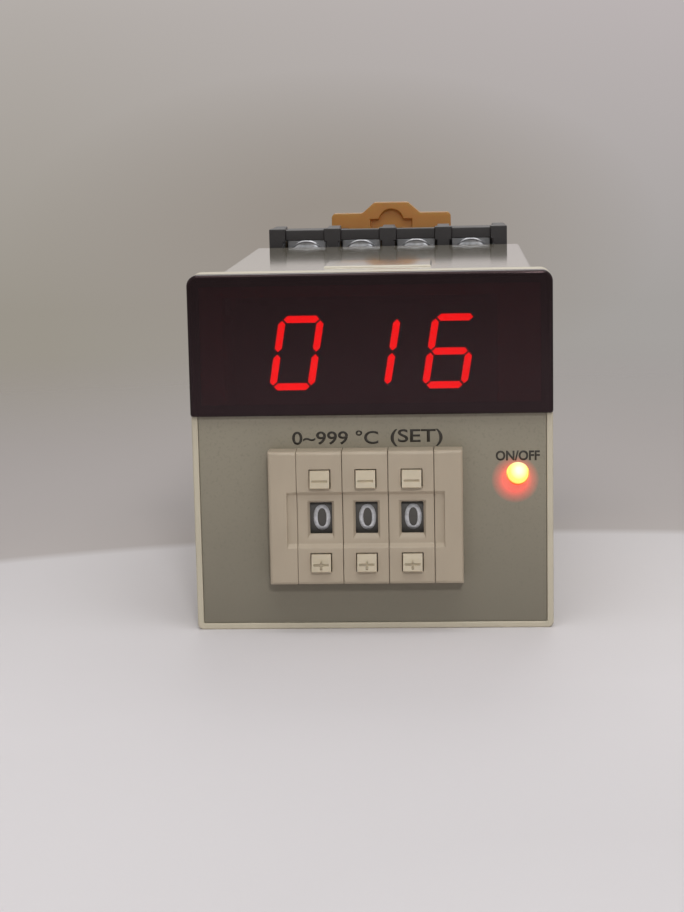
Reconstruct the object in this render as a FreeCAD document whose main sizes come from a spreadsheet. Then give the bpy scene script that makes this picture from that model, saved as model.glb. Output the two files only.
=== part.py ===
import FreeCAD, Part
import os
import re
import Sketcher
from FreeCAD import Placement, Rotation, Vector

# Panel temperature controller with a three-digit thumbwheel, plugged into its eight-pin rail socket.
# The origin is the centre of the housing's section in the plane where the front frame meets the panel.
# +X is to the right seen from the front, +Y runs back from the panel, +Z is up. Lengths are millimetres.

DIMENSIONS = {
    # how far joined features run into each other, and how far cuts run past a face
    "weld": 0.2,
    "past": 1.0,
    # front frame and window
    "face_size": 48.0,
    "face_corner": 0.8,
    "frame_front": -5.0,
    "frame_edge": 0.25,
    "window_front": -6.0,
    "window_thickness": 2.3,
    "window_wall": 1.3,
    "window_rim": 1.2,
    "window_bottom": 5.2,
    "window_corner": 1.45,
    "window_edge": 0.4,
    "opening_left": 19.5,
    "opening_right": 16.8,
    "opening_bottom": 20.5,
    "opening_top": 20.8,
    # snap arms that carry the housing
    "arm_outer": 20.5,
    "arm_thickness": 1.2,
    "arm_width": 8.0,
    "arm_height": 13.0,
    "arm_length": 11.0,
    "hook_reach": 1.0,
    "hook_start": 7.5,
    "hook_length": 2.5,
    "hook_play": 0.2,
    # front plate
    "plate_front": -4.8,
    "plate_thickness": 1.0,
    "plate_half": 23.1,
    "plate_top": 5.15,
    "plate_play": 0.05,
    # indicator
    "lamp_x": 19.32,
    "lamp_z": -3.0,
    "lamp_radius": 1.42,
    "lamp_tip": -6.2,
    "lamp_length": 5.3,
    "lamp_flange": 1.8,
    "lamp_flange_thickness": 1.0,
    "lamp_play": 0.1,
    "lead_spacing": 2.54,
    "lead_size": 0.5,
    # display
    "display_x": 0.35,
    "display_z": 13.35,
    "display_width": 30.0,
    "display_height": 12.8,
    "display_front": -3.5,
    "display_depth": 7.2,
    "digit_pitch": 10.15,
    "digit_half_width": 3.0,
    "digit_half_height": 4.95,
    "digit_slant": 9.5,
    "bar_thickness": 0.93,
    "bar_gap": 0.17,
    "bar_depth": 1.0,
    # boards
    "board_thickness": 1.6,
    "display_board_half": 18.5,
    "display_board_top": 19.5,
    "display_board_bottom": 2.2,
    "tongue_left": 13.6,
    "tongue_right": 20.2,
    "tongue_bottom": -7.0,
    "long_board_outer": 19.2,
    "long_board_start": 6.0,
    "long_board_end": 70.0,
    "long_board_half": 18.5,
    "header_length": 8.0,
    "header_depth": 2.5,
    "header_low": 6.0,
    "header_high": 16.0,
    # thumbwheel switch
    "switch_front": -8.0,
    "switch_top": 0.72,
    "switch_bottom": -17.2,
    "switch_edge": 0.5,
    "switch_rear": 14.0,
    "switch_neck": 0.35,
    "switch_neck_play": 0.1,
    "module_left": -9.95,
    "module_pitch": 6.07,
    "module_width": 6.01,
    "module_wall": 0.55,
    "front_wall": 1.3,
    "seam": 0.03,
    "end_width": 3.75,
    "end_plate": 2.55,
    "latch_reach": 1.0,
    "latch_play": 0.05,
    "latch_length": 2.2,
    "latch_half": 4.0,
    "band_top": -4.93,
    "band_bottom": -11.99,
    "band_depth": 0.6,
    "band_edge": 0.47,
    "band_reach": 1.3,
    "sight_left": 1.65,
    "sight_width": 2.93,
    "sight_top": -6.24,
    "sight_bottom": -10.45,
    "sight_bevel": 0.33,
    "sight_brow": 0.27,
    "sight_sill": 0.68,
    "sight_depth": 0.5,
    # digit wheels
    "wheel_y": 0.6,
    "wheel_z": -8.42,
    "wheel_radius": 6.8,
    "wheel_rim": 0.9,
    "wheel_left": 1.5,
    "wheel_right": 4.85,
    "wheel_web": 1.9,
    "hub_radius": 2.2,
    "stub_radius": 1.2,
    "stub_end": 4.6,
    "wheel_play": 0.05,
    "ratchet_radius": 4.0,
    "ratchet_left": 0.8,
    "ratchet_notch": 0.7,
    "ratchet_rake": 1.1,
    "contact_radius": 5.4,
    "contact_thickness": 0.15,
    "contact_slot": 0.8,
    "contact_hub": 2.6,
    # push keys
    "key_left": 1.67,
    "key_opening_width": 2.84,
    "key_opening_height": 2.58,
    "key_play": 0.12,
    "upper_key_z": -2.96,
    "lower_key_z": -14.215,
    "key_rear": -6.9,
    "key_brow": -8.1,
    "key_ridge": -8.35,
    "key_ridge_drop": 0.55,
    "key_lip": -8.95,
    "key_lip_radius": 0.15,
    "mark_width": 2.0,
    "mark_height": 0.28,
    "plus_height": 1.25,
    "mark_depth": 0.22,
    "mark_drop": 0.2,
    "stop_front": -6.6,
    "stop_thickness": 0.5,
    "stop_left": 0.75,
    "stop_half": 1.0,
    "neck_half": 0.8,
    "upper_lift": 0.25,
    "lower_lift": 0.4,
    "arm_plate_left": 0.72,
    "arm_plate_width": 0.6,
    "arm_plate_half": 0.9,
    "arm_plate_end": 7.0,
    "pawl_start": 1.0,
    "pawl_length": 1.0,
    "pawl_clearance": 0.15,
    "seat_width": 1.8,
    "seat_length": 0.6,
    "spring_radius": 0.65,
    "spring_wire": 0.13,
    "spring_pitch": 1.05,
    "spring_play": 0.15,
    # code boards and rods
    "code_left": 5.15,
    "code_thickness": 0.8,
    "code_play": 0.1,
    "code_front": -4.0,
    "code_rear": 17.0,
    "code_top": -1.7,
    "code_bottom": -14.6,
    "rod_radius": 0.6,
    "rod_y": 12.0,
    "upper_rod_z": -0.9,
    "lower_rod_z": -15.45,
    "rod_play": 0.05,
    "rod_end": 0.6,
    # housing
    "case_size": 44.8,
    "case_wall": 1.8,
    "case_corner": 0.6,
    "case_length": 75.3,
    "guide_level": 17.5,
    "guide_start": 14.0,
    "guide_thickness": 1.2,
    "guide_play": 0.1,
    "pad_width": 15.6,
    "pad_start": 26.0,
    "pad_length": 12.0,
    "pad_height": 0.25,
    # octal plug
    "plug_radius": 15.0,
    "plug_play": 0.2,
    "plug_face": 77.0,
    "flange_half": 17.5,
    "flange_thickness": 1.5,
    "pin_circle": 8.725,
    "pin_radius": 1.18,
    "pin_start": 70.0,
    "pin_end": 88.5,
    "pin_tip": 0.7,
    "lead_radius": 0.6,
    "lead_bend": 1.6,
    "lead_straight": 0.8,
    "post_radius": 4.0,
    "post_end": 89.0,
    "post_rib": 1.6,
    "post_rib_reach": 5.1,
    "base_screw_place": 14.5,
    "base_screw_head": 2.2,
    "base_screw_head_height": 1.3,
    "base_screw_radius": 1.15,
    "base_screw_hole": 1.35,
    "base_screw_core": 1.2,
    "base_screw_end": 70.5,
    "small_slot": 0.55,
    "small_slot_depth": 0.6,
    # transformer
    "coil_x": -7.2,
    "coil_y": 50.0,
    "coil_z": -2.0,
    "stack_half": 7.0,
    "core_half_length": 14.0,
    "core_half_height": 12.0,
    "limb_half": 4.0,
    "yoke": 5.0,
    "leg": 4.0,
    "bobbin_wall": 0.8,
    "winding_build": 9.7,
    "winding_half_width": 9.8,
    "flange_half_width": 10.4,
    "flange_build": 9.9,
    # relay, capacitors and chips on the logic board
    "relay_height": 12.0,
    "relay_start": 46.0,
    "relay_end": 65.0,
    "relay_bottom": -16.0,
    "relay_top": -0.5,
    "relay_corner": 0.8,
    "chip_height": 3.5,
    "large_chip_start": 20.0,
    "large_chip_end": 45.0,
    "large_chip_bottom": -15.5,
    "large_chip_top": -1.8,
    "small_chip_start": 52.0,
    "small_chip_end": 61.8,
    "small_chip_bottom": 2.0,
    "small_chip_top": 8.4,
    "chip_leg": 0.4,
    "chip_lift": 0.4,
    "large_can_radius": 5.0,
    "large_can_height": 16.0,
    "large_can_y": 30.0,
    "large_can_z": 12.0,
    "middle_can_radius": 4.0,
    "middle_can_height": 12.0,
    "middle_can_y": 42.0,
    "middle_can_z": 10.0,
    "small_can_radius": 3.15,
    "small_can_height": 11.0,
    "small_can_y": 65.0,
    "small_can_z": 13.0,
    "can_groove": 0.5,
    "can_groove_height": 2.0,
    # rail socket
    "socket_half_width": 20.35,
    "socket_half_height": 24.0,
    "socket_front": 77.3,
    "socket_split": 96.0,
    "socket_rear": 106.0,
    "socket_corner": 0.6,
    "bay_pitch": 9.5,
    "bay_width": 7.4,
    "bay_bottom": 15.5,
    "bay_floor": 87.0,
    "cap_width": 2.9,
    "cap_top": 25.4,
    "cap_bottom": 23.15,
    "cap_depth": 3.0,
    "bridge_bottom": 23.35,
    "bridge_top": 25.15,
    "bridge_front": 78.1,
    "bridge_depth": 2.2,
    "pin_hole": 1.7,
    "key_hole": 4.4,
    "key_slot": 1.1,
    "key_slot_reach": 5.6,
    "chamber_radius": 2.4,
    "chamber_front": 79.5,
    "hollow_front": 91.0,
    "hollow_half_width": 18.5,
    "hollow_half_height": 22.4,
    "mount_hole": 2.25,
    "mount_hole_x": 16.5,
    "mount_boss": 3.3,
    # socket contacts, screws and clamps
    "sleeve_inner": 1.24,
    "sleeve_outer": 1.8,
    "sleeve_front": 80.0,
    "strap_front": 92.4,
    "strap_thickness": 0.8,
    "strap_half": 1.0,
    "outer_strap_z": 4.8,
    "riser_bottom": 16.2,
    "riser_play": 0.15,
    "terminal_half": 3.3,
    "terminal_top": 23.2,
    "terminal_thickness": 0.9,
    "terminal_z": 20.2,
    "clamp_front": 82.5,
    "clamp_thickness": 1.4,
    "clamp_half": 3.3,
    "clamp_half_height": 3.0,
    "clamp_lip": 0.7,
    "screw_head": 3.0,
    "screw_head_height": 2.0,
    "screw_core": 1.7,
    "screw_play": 0.1,
    "screw_end": 90.5,
    "screw_slot": 0.9,
    "screw_slot_depth": 0.9,
    "screw_slot_reach": 2.2,
    # rail grip and clip
    "rail_half": 17.8,
    "rail_floor": 101.0,
    "grip_front": 102.4,
    "grip_thickness": 2.0,
    "grip_reach": 2.0,
    "channel_half": 8.1,
    "channel_bottom": 6.0,
    "channel_floor": 98.6,
    "tongue_half": 7.8,
    "tongue_front": 98.8,
    "tongue_rear": 100.9,
    "tongue_low": 6.4,
    "clip_hook_low": 15.8,
    "clip_block_low": 17.95,
    "clip_block_top": 20.0,
    "clip_corner": 0.8,
    "clip_window_half": 2.1,
    "clip_window_low": 8.0,
    "clip_window_top": 17.85,
    "peg_half": 1.8,
    "peg_low": 16.9,
    "peg_height": 0.8,
    "clip_head_half": 10.8,
    "clip_head_low": 24.2,
    "clip_head_top": 26.9,
    "clip_head_rear": 102.0,
    "clip_play": 0.3,
    "hump_base_half": 5.2,
    "hump_top_half": 3.05,
    "hump_top": 28.8,
    "arch_radius": 2.25,
    "arch_z": 25.35,
    "arch_foot": 3.8,
    "arch_foot_top": 25.8,
    "arch_depth": 1.4,
    "clip_spring_radius": 0.95,
    "clip_spring_wire": 0.2,
    "clip_spring_pitch": 1.4,
    "clip_spring_play": 0.3,
    # screws that join the socket's two mouldings
    "cover_screw_radius": 1.4,
    "cover_screw_boss": 2.3,
    "cover_screw_head": 2.2,
    "cover_screw_head_height": 1.4,
    "cover_screw_sink": 0.1,
    "cover_screw_z": 13.0,
    "cover_screw_x": 17.75,
    "cover_screw_play": 0.1,
    "cover_screw_end": 87.5,
}

MODULES = range(3)
LIT_BARS = ("abcdef", "bc", "acdefg")

os.makedirs("parts", exist_ok=True)
doc = FreeCAD.newDocument("temperature_controller")
sheet = doc.addObject("Spreadsheet::Sheet", "Dimensions")
for row, (alias, size) in enumerate(DIMENSIONS.items(), 1):
    sheet.set(f"A{row}", alias)
    sheet.set(f"B{row}", str(size))
    sheet.setAlias(f"B{row}", alias)
doc.recompute()

nodes = {}
AXES = "xyz"
TURNS = {
    "x": Rotation(Vector(0, 1, 0), 90),
    "y": Rotation(Vector(1, 0, 0), -90),
    "z": Rotation(),
}
PLANES = {"x": "YZ_Plane", "y": "XZ_Plane", "z": "XY_Plane"}
# a sketch on the XZ plane faces the viewer, towards -Y
FACING = {"x": 1, "y": -1, "z": 1}


def formula(text):
    """Return a formula with each dimension's name pointed at its cell."""
    words = r"[a-z][a-z0-9_]*"
    return re.sub(words, lambda word: ("Dimensions." if word[0] in DIMENSIONS else "") + word[0], str(text))


def value(text):
    """Return the number that a formula gives now."""
    return float(sheet.evalExpression(formula(text)))


def span(first, last):
    """Return two formulas in rising order of what they give."""
    return sorted((first, last), key=value)


def bind(item, **formulas):
    """Tie an object's properties to formulas."""
    for name, text in formulas.items():
        item.setExpression(name, formula(text))


def put(item, place):
    """Tie an object's place to three formulas."""
    for axis, text in zip(AXES, place):
        item.setExpression(f"Placement.Base.{axis}", formula(text))


def keep(name, item):
    """Register the finished object of a sub-part under the sub-part's name."""
    item.Label = name
    nodes[name] = item
    return item


# Part primitives and booleans


def box(name, low, high):
    """Return a box between two corners."""
    item = doc.addObject("Part::Box", name)
    spans = [f"({top}) - ({bottom})" for bottom, top in zip(low, high)]
    bind(item, Length=spans[0], Width=spans[1], Height=spans[2])
    put(item, low)
    return item


def rod(name, axis, centre, radius, start, end):
    """Return a cylinder along an axis, through a centre given by its other two coordinates."""
    item = doc.addObject("Part::Cylinder", name)
    bind(item, Radius=radius, Height=f"({end}) - ({start})")
    item.Placement = Placement(Vector(), TURNS[axis])
    place = list(centre)
    place.insert(AXES.index(axis), start)
    put(item, place)
    return item


def cone(name, axis, centre, radius, tip_radius, start, end):
    """Return a cone along an axis, from its base to its narrow end."""
    item = doc.addObject("Part::Cone", name)
    bind(item, Radius1=radius, Radius2=tip_radius, Height=f"({end}) - ({start})")
    item.Placement = Placement(Vector(), TURNS[axis])
    place = list(centre)
    place.insert(AXES.index(axis), start)
    put(item, place)
    return item


def fuse(name, items):
    """Return the union of several shapes."""
    item = doc.addObject("Part::MultiFuse", name)
    item.Shapes = items
    return item


def cut(name, base, tools):
    """Return a shape without its tools."""
    item = doc.addObject("Part::Cut", name)
    item.Base = base
    item.Tool = tools[0] if len(tools) == 1 else fuse(name + "_tools", tools)
    return item


def gather(name, items):
    """Return like pieces as one group of separate solids."""
    item = doc.addObject("Part::Compound", name)
    item.Links = items
    return item


def coil(name, axis, centre, radius, wire, pitch, start, end):
    """Return a wire spring along an axis."""
    path = doc.addObject("Part::Helix", name + "_path")
    bind(path, Radius=radius, Pitch=pitch, Height=f"({end}) - ({start})")
    section = doc.addObject("Part::Circle", name + "_wire")
    bind(section, Radius=wire)
    section.Placement = Placement(Vector(), Rotation(Vector(1, 0, 0), 90))
    bind(section, **{"Placement.Base.x": radius})
    sweep = doc.addObject("Part::Sweep", name + "_sweep")
    sweep.Sections = [section]
    sweep.Spine = (path, ["Edge1"])
    sweep.Solid = True
    sweep.Frenet = True
    turned = doc.addObject("Part::Compound", name)
    turned.Links = [sweep]
    turned.Placement = Placement(Vector(), TURNS[axis])
    place = list(centre)
    place.insert(AXES.index(axis), start)
    put(turned, place)
    return turned


# sketch-based bodies


def body(name, place=("0", "0", "0")):
    """Return a new body for one sub-part."""
    item = doc.addObject("PartDesign::Body", name)
    put(item, place)
    return keep(name, item)


def role(part, name):
    """Return a plane or axis of a body's own origin."""
    return next(feature for feature in part.Origin.OriginFeatures if feature.Role == name)


def sketch(part, name, axis, offset):
    """Return a sketch across an axis, at an offset along it."""
    drawing = part.newObject("Sketcher::SketchObject", name + "_sketch")
    drawing.AttachmentSupport = [(role(part, PLANES[axis]), "")]
    drawing.MapMode = "FlatFace"
    drawing.setExpression("AttachmentOffset.Base.z", formula(f"{FACING[axis]} * ({offset})"))
    return drawing


def hold(drawing, geometry, point, place):
    """Fix a point of a sketch at two formulas."""
    for kind, text in zip(("DistanceX", "DistanceY"), place):
        index = drawing.addConstraint(Sketcher.Constraint(kind, geometry, point, value(text)))
        drawing.setExpression(f"Constraints[{index}]", formula(text))


def polygon(drawing, points):
    """Draw a closed outline through points given as formulas."""
    spots = [Vector(value(across), value(up), 0) for across, up in points]
    first = drawing.GeometryCount
    count = len(points)
    for index in range(count):
        drawing.addGeometry(Part.LineSegment(spots[index], spots[(index + 1) % count]))
    for index in range(count):
        following = first + (index + 1) % count
        drawing.addConstraint(Sketcher.Constraint("Coincident", first + index, 2, following, 1))
        hold(drawing, first + index, 1, points[index])


def circle(drawing, centre, radius):
    """Draw a circle given by formulas."""
    spot = Vector(value(centre[0]), value(centre[1]), 0)
    geometry = drawing.addGeometry(Part.Circle(spot, Vector(0, 0, 1), value(radius)))
    hold(drawing, geometry, 3, centre)
    index = drawing.addConstraint(Sketcher.Constraint("Radius", geometry, value(radius)))
    drawing.setExpression(f"Constraints[{index}]", formula(radius))


def corners(low, high):
    """Return the four corners of a rectangle."""
    return [(low[0], low[1]), (high[0], low[1]), (high[0], high[1]), (low[0], high[1])]


def feature(part, kind, name, drawing, axis, start, end):
    """Add a Pad or cut a Pocket, from start to end along an axis."""
    item = part.newObject("PartDesign::" + kind, name)
    item.Profile = drawing
    item.setExpression("Length", formula(f"({end}) - ({start})"))
    # a pad follows the sketch's facing and a pocket runs against it, and both here run along the axis
    item.Reversed = (FACING[axis] < 0) == (kind == "Pad")
    drawing.Visibility = False
    return item


def shape(part, kind, name, axis, outlines, start, end):
    """Add or cut a prism whose outlines are polygons across an axis."""
    drawing = sketch(part, name, axis, start)
    for outline in outlines:
        polygon(drawing, outline)
    return feature(part, kind, name, drawing, axis, start, end)


def block(part, name, low, high, kind="Pad"):
    """Add a box to a body, or cut it out of it."""
    outline = corners((low[0], low[2]), (high[0], high[2]))
    return shape(part, kind, name, "y", [outline], low[1], high[1])


def round_shape(part, kind, name, axis, centres, radius, start, end):
    """Add or cut cylinders along an axis."""
    drawing = sketch(part, name, axis, start)
    for centre in centres:
        circle(drawing, centre, radius)
    return feature(part, kind, name, drawing, axis, start, end)


def soften(part, kind, name, size, wanted):
    """Round or bevel the edges of a body that pass a test."""
    doc.recompute()
    base = part.Tip
    edges = [f"Edge{number}" for number, edge in enumerate(base.Shape.Edges, 1) if wanted(edge)]
    item = part.newObject("PartDesign::" + kind, name)
    item.Base = (base, edges)
    item.setExpression("Radius" if kind == "Fillet" else "Size", formula(size))
    return item


def runs(axis, **near):
    """Return a test for straight edges along an axis whose middle has one of the given coordinates."""
    places = {name: [value(text) for text in texts] for name, texts in near.items()}

    def wanted(edge):
        if edge.Curve.TypeId != "Part::GeomLine":
            return False
        along = edge.tangentAt(edge.FirstParameter)
        middle = (edge.Vertexes[0].Point + edge.Vertexes[-1].Point) * 0.5
        straight = abs(getattr(along, axis)) > 0.999
        return straight and all(
            min(abs(getattr(middle, name) - place) for place in options) < 0.01
            for name, options in places.items()
        )

    return wanted


def lies(axis, level):
    """Return a test for the edges that lie in the plane where an axis has this value."""
    index, place = AXES.index(axis), value(level)
    return lambda edge: all(abs(vertex.Point[index] - place) < 0.01 for vertex in edge.Vertexes)


def either(*tests):
    """Return a test that passes an edge if any of several tests does."""
    return lambda edge: any(test(edge) for test in tests)


# front of the controller


def bezel():
    half = "face_size / 2"
    part = body("bezel")
    outer = corners((f"-{half}", f"-{half}"), (half, half))
    shape(part, "Pad", "frame", "y", [outer], "frame_front", "0")
    soften(part, "Fillet", "lower_corners", "face_corner", runs("y", z=[f"-{half}"]))
    soften(part, "Fillet", "upper_corners", "window_corner", runs("y", z=[half]))
    soften(part, "Fillet", "front_edge", "frame_edge", lies("y", "frame_front"))
    seat_rear = "window_front + window_thickness"
    seat_low = (f"-{half} - past", "frame_front", "window_bottom")
    seat_high = (f"{half} + past", seat_rear, f"{half} + past")
    block(part, "window_seat", seat_low, seat_high, "Pocket")
    edge = "plate_half + plate_play"
    plate_rear = "plate_front + plate_thickness"
    plate_low = (f"-({edge})", "frame_front", f"-({edge})")
    plate_high = (edge, plate_rear, "window_bottom + weld")
    block(part, "plate_seat", plate_low, plate_high, "Pocket")
    block(
        part,
        "opening",
        ("-opening_left", "frame_front", "-opening_bottom"),
        ("opening_right", "past", "opening_top"),
        "Pocket",
    )
    lamp = [("lamp_x", "lamp_z")]
    round_shape(part, "Pocket", "lamp_hole", "y", lamp, "lamp_radius + lamp_play", "frame_front", "past")
    flange_front = "lamp_tip + lamp_length - lamp_flange_thickness"
    round_shape(part, "Pocket", "lamp_seat", "y", lamp, "lamp_flange + lamp_play", flange_front, "past")
    for name, side in (("left", -1), ("right", 1)):
        for level, height in (("lower", -1), ("upper", 1)):
            low = f"{height} * arm_height - arm_width / 2"
            high = f"{height} * arm_height + arm_width / 2"
            hook_end = "hook_start + hook_length"
            spans = {
                "arm": ("arm_outer - arm_thickness", "-past", "arm_outer", "arm_length"),
                "hook": ("arm_outer - weld", "hook_start", "arm_outer + hook_reach", hook_end),
            }
            for kind, (inner, start, outer_face, end) in spans.items():
                across = span(f"{side} * ({inner})", f"{side} * ({outer_face})")
                block(part, f"{name}_{level}_{kind}", (across[0], start, low), (across[1], end, high))


def display_window():
    half = "face_size / 2"
    part = body("display_window")
    rear = "window_front + window_thickness"
    outline = corners((f"-{half}", "window_bottom"), (half, half))
    shape(part, "Pad", "plate", "y", [outline], "window_front", rear)
    soften(part, "Fillet", "upper_corners", "window_corner", runs("y", z=[half]))
    soften(part, "Fillet", "front_edge", "window_edge", lies("y", "window_front"))
    inner = corners(
        (f"-{half} + window_rim", "window_bottom + window_rim"),
        (f"{half} - window_rim", f"{half} - window_rim"),
    )
    shape(part, "Pocket", "back_recess", "y", [inner], "window_front + window_wall", rear)


def face_plate():
    part = body("face_plate")
    rear = "plate_front + plate_thickness"
    outline = corners(("-plate_half", "-plate_half"), ("plate_half", "plate_top"))
    shape(part, "Pad", "plate", "y", [outline], "plate_front", rear)
    neck = "switch_neck - switch_neck_play"
    left = f"module_left - end_width + {neck}"
    right = f"module_left + 3 * module_pitch + end_width - ({neck})"
    low = (left, "plate_front", f"switch_bottom + {neck}")
    high = (right, rear, f"switch_top - ({neck})")
    block(part, "switch_opening", low, high, "Pocket")
    centre = [("lamp_x", "lamp_z")]
    round_shape(part, "Pocket", "lamp_hole", "y", centre, "lamp_radius + lamp_play", "plate_front", rear)


def indicator_led():
    centre = ("lamp_x", "lamp_z")
    end = "lamp_tip + lamp_length"
    shoulder = "lamp_tip + lamp_radius"
    dome = doc.addObject("Part::Sphere", "lamp_dome")
    bind(dome, Radius="lamp_radius")
    put(dome, ("lamp_x", shoulder, "lamp_z"))
    barrel = rod("lamp_barrel", "y", centre, "lamp_radius", shoulder, end)
    flange = rod("lamp_flange_ring", "y", centre, "lamp_flange", f"{end} - lamp_flange_thickness", end)
    keep("indicator_led", fuse("lamp", [dome, barrel, flange]))
    leads = []
    for side in (-1, 1):
        middle = f"lamp_z + {side} * lead_spacing / 2"
        low = ("lamp_x - lead_size / 2", end, f"{middle} - lead_size / 2")
        high = ("lamp_x + lead_size / 2", "display_front + display_depth", f"{middle} + lead_size / 2")
        leads.append(box(f"lead_{side + 1}", low, high))
    keep("led_leads", gather("leads", leads))


def bar_outline(letter):
    """Return the six corners of one bar of a digit, before the slant, as half-sizes of the digit."""
    across = "(digit_half_width - bar_thickness / 2)"
    up = "(digit_half_height - bar_thickness / 2)"
    half = "bar_thickness / 2"
    inset = "bar_gap"
    levels = {"a": up, "g": "0", "d": f"-{up}"}
    if letter in levels:
        level = levels[letter]
        end = f"({across} - {inset})"
        near = f"({end} - {half})"
        return [
            (f"-{end}", level),
            (f"-{near}", f"{level} - {half}"),
            (near, f"{level} - {half}"),
            (end, level),
            (near, f"{level} + {half}"),
            (f"-{near}", f"{level} + {half}"),
        ]
    side = -1 if letter in "ef" else 1
    sign = 1 if letter in "bf" else -1
    column = f"{side} * {across}"
    inner = f"{sign} * {inset}"
    outer = f"{sign} * ({up} - {inset})"
    inner_near = f"{sign} * ({inset} + {half})"
    outer_near = f"{sign} * ({up} - {inset} - {half})"
    return [
        (column, inner),
        (f"{column} + {half}", inner_near),
        (f"{column} + {half}", outer_near),
        (column, outer),
        (f"{column} - {half}", outer_near),
        (f"{column} - {half}", inner_near),
    ]


def bars(name, lit):
    """Return the bars that are lit, or those that are dark, as one group of thin prisms."""
    drawing = doc.addObject("Sketcher::SketchObject", name + "_sketch")
    drawing.Placement = Placement(Vector(), Rotation(Vector(1, 0, 0), 90))
    bind(drawing, **{"Placement.Base.y": "display_front"})
    for place, letters in enumerate(LIT_BARS):
        middle = f"display_x + {place - 1} * digit_pitch"
        for letter in "abcdefg":
            if (letter in letters) != lit:
                continue
            points = []
            for across, up in bar_outline(letter):
                slanted = f"{middle} + {across} + ({up}) * tan(digit_slant * 1 deg)"
                points.append((slanted, f"display_z + {up}"))
            polygon(drawing, points)
    item = doc.addObject("Part::Extrusion", name)
    item.Base = drawing
    item.DirMode = "Custom"
    item.Dir = Vector(0, 1, 0)
    item.Solid = True
    bind(item, LengthFwd="bar_depth")
    return keep(name, item)


def display():
    lit = bars("lit_segments", True)
    dark = bars("unlit_segments", False)
    rear = "display_front + display_depth"
    low = ("display_x - display_width / 2", "display_front", "display_z - display_height / 2")
    high = ("display_x + display_width / 2", rear, "display_z + display_height / 2")
    keep("display_body", cut("display_shell", box("display_block", low, high), [lit, dark]))


def display_board():
    front = "display_front + display_depth"
    rear = f"{front} + board_thickness"
    part = body("display_board")
    outline = [
        ("-display_board_half", "display_board_bottom"),
        ("tongue_left", "display_board_bottom"),
        ("tongue_left", "tongue_bottom"),
        ("tongue_right", "tongue_bottom"),
        ("tongue_right", "display_board_bottom"),
        ("display_board_half", "display_board_bottom"),
        ("display_board_half", "display_board_top"),
        ("-display_board_half", "display_board_top"),
    ]
    shape(part, "Pad", "board", "y", [outline], front, rear)


# thumbwheel switch


def band_outline():
    """Return the sunk band's section, with sloping upper and lower edges."""
    floor = "switch_front + band_depth"
    return [
        ("switch_front", "band_top + band_edge / 2"),
        (floor, "band_top - band_edge / 2"),
        (floor, "band_bottom + band_edge / 2"),
        ("switch_front", "band_bottom - band_edge / 2"),
    ]


def switch_ends():
    inner_left = "module_left - seam"
    inner_right = "module_left + 3 * module_pitch"
    for name, side, inner in (("left", -1, inner_left), ("right", 1, inner_right)):
        part = body(f"switch_end_{name}")
        outer = f"{inner} + {side} * end_width"
        plate = f"{inner} + {side} * end_plate"
        reach = f"{inner} + {side} * band_reach"
        head = span(inner, outer)
        stem = span(inner, plate)
        band = span(inner, reach)
        top = "switch_top - switch_neck"
        bottom = "switch_bottom + switch_neck"
        head_low = (head[0], "switch_front", "switch_bottom")
        block(part, "head", head_low, (head[1], "plate_front", "switch_top"))
        block(part, "stem", (stem[0], "plate_front - weld", bottom), (stem[1], "switch_rear", top))
        soften(
            part,
            "Fillet",
            "front_edges",
            "switch_edge",
            either(
                runs("x", y=["switch_front"]),
                runs("z", y=["switch_front"], x=[outer]),
            ),
        )
        shape(part, "Pocket", "band", "x", [band_outline()], band[0], band[1])
        latch = span(f"{plate} - {side} * weld", f"{plate} + {side} * latch_reach")
        start = "plate_front + plate_thickness + latch_play"
        latch_low = (latch[0], start, "wheel_z - latch_half")
        block(part, "latch", latch_low, (latch[1], f"{start} + latch_length", "wheel_z + latch_half"))
        holes = [("rod_y", "upper_rod_z"), ("rod_y", "lower_rod_z")]
        round_shape(part, "Pocket", "rod_holes", "x", holes, "rod_radius + rod_play", stem[0], stem[1])


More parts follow.
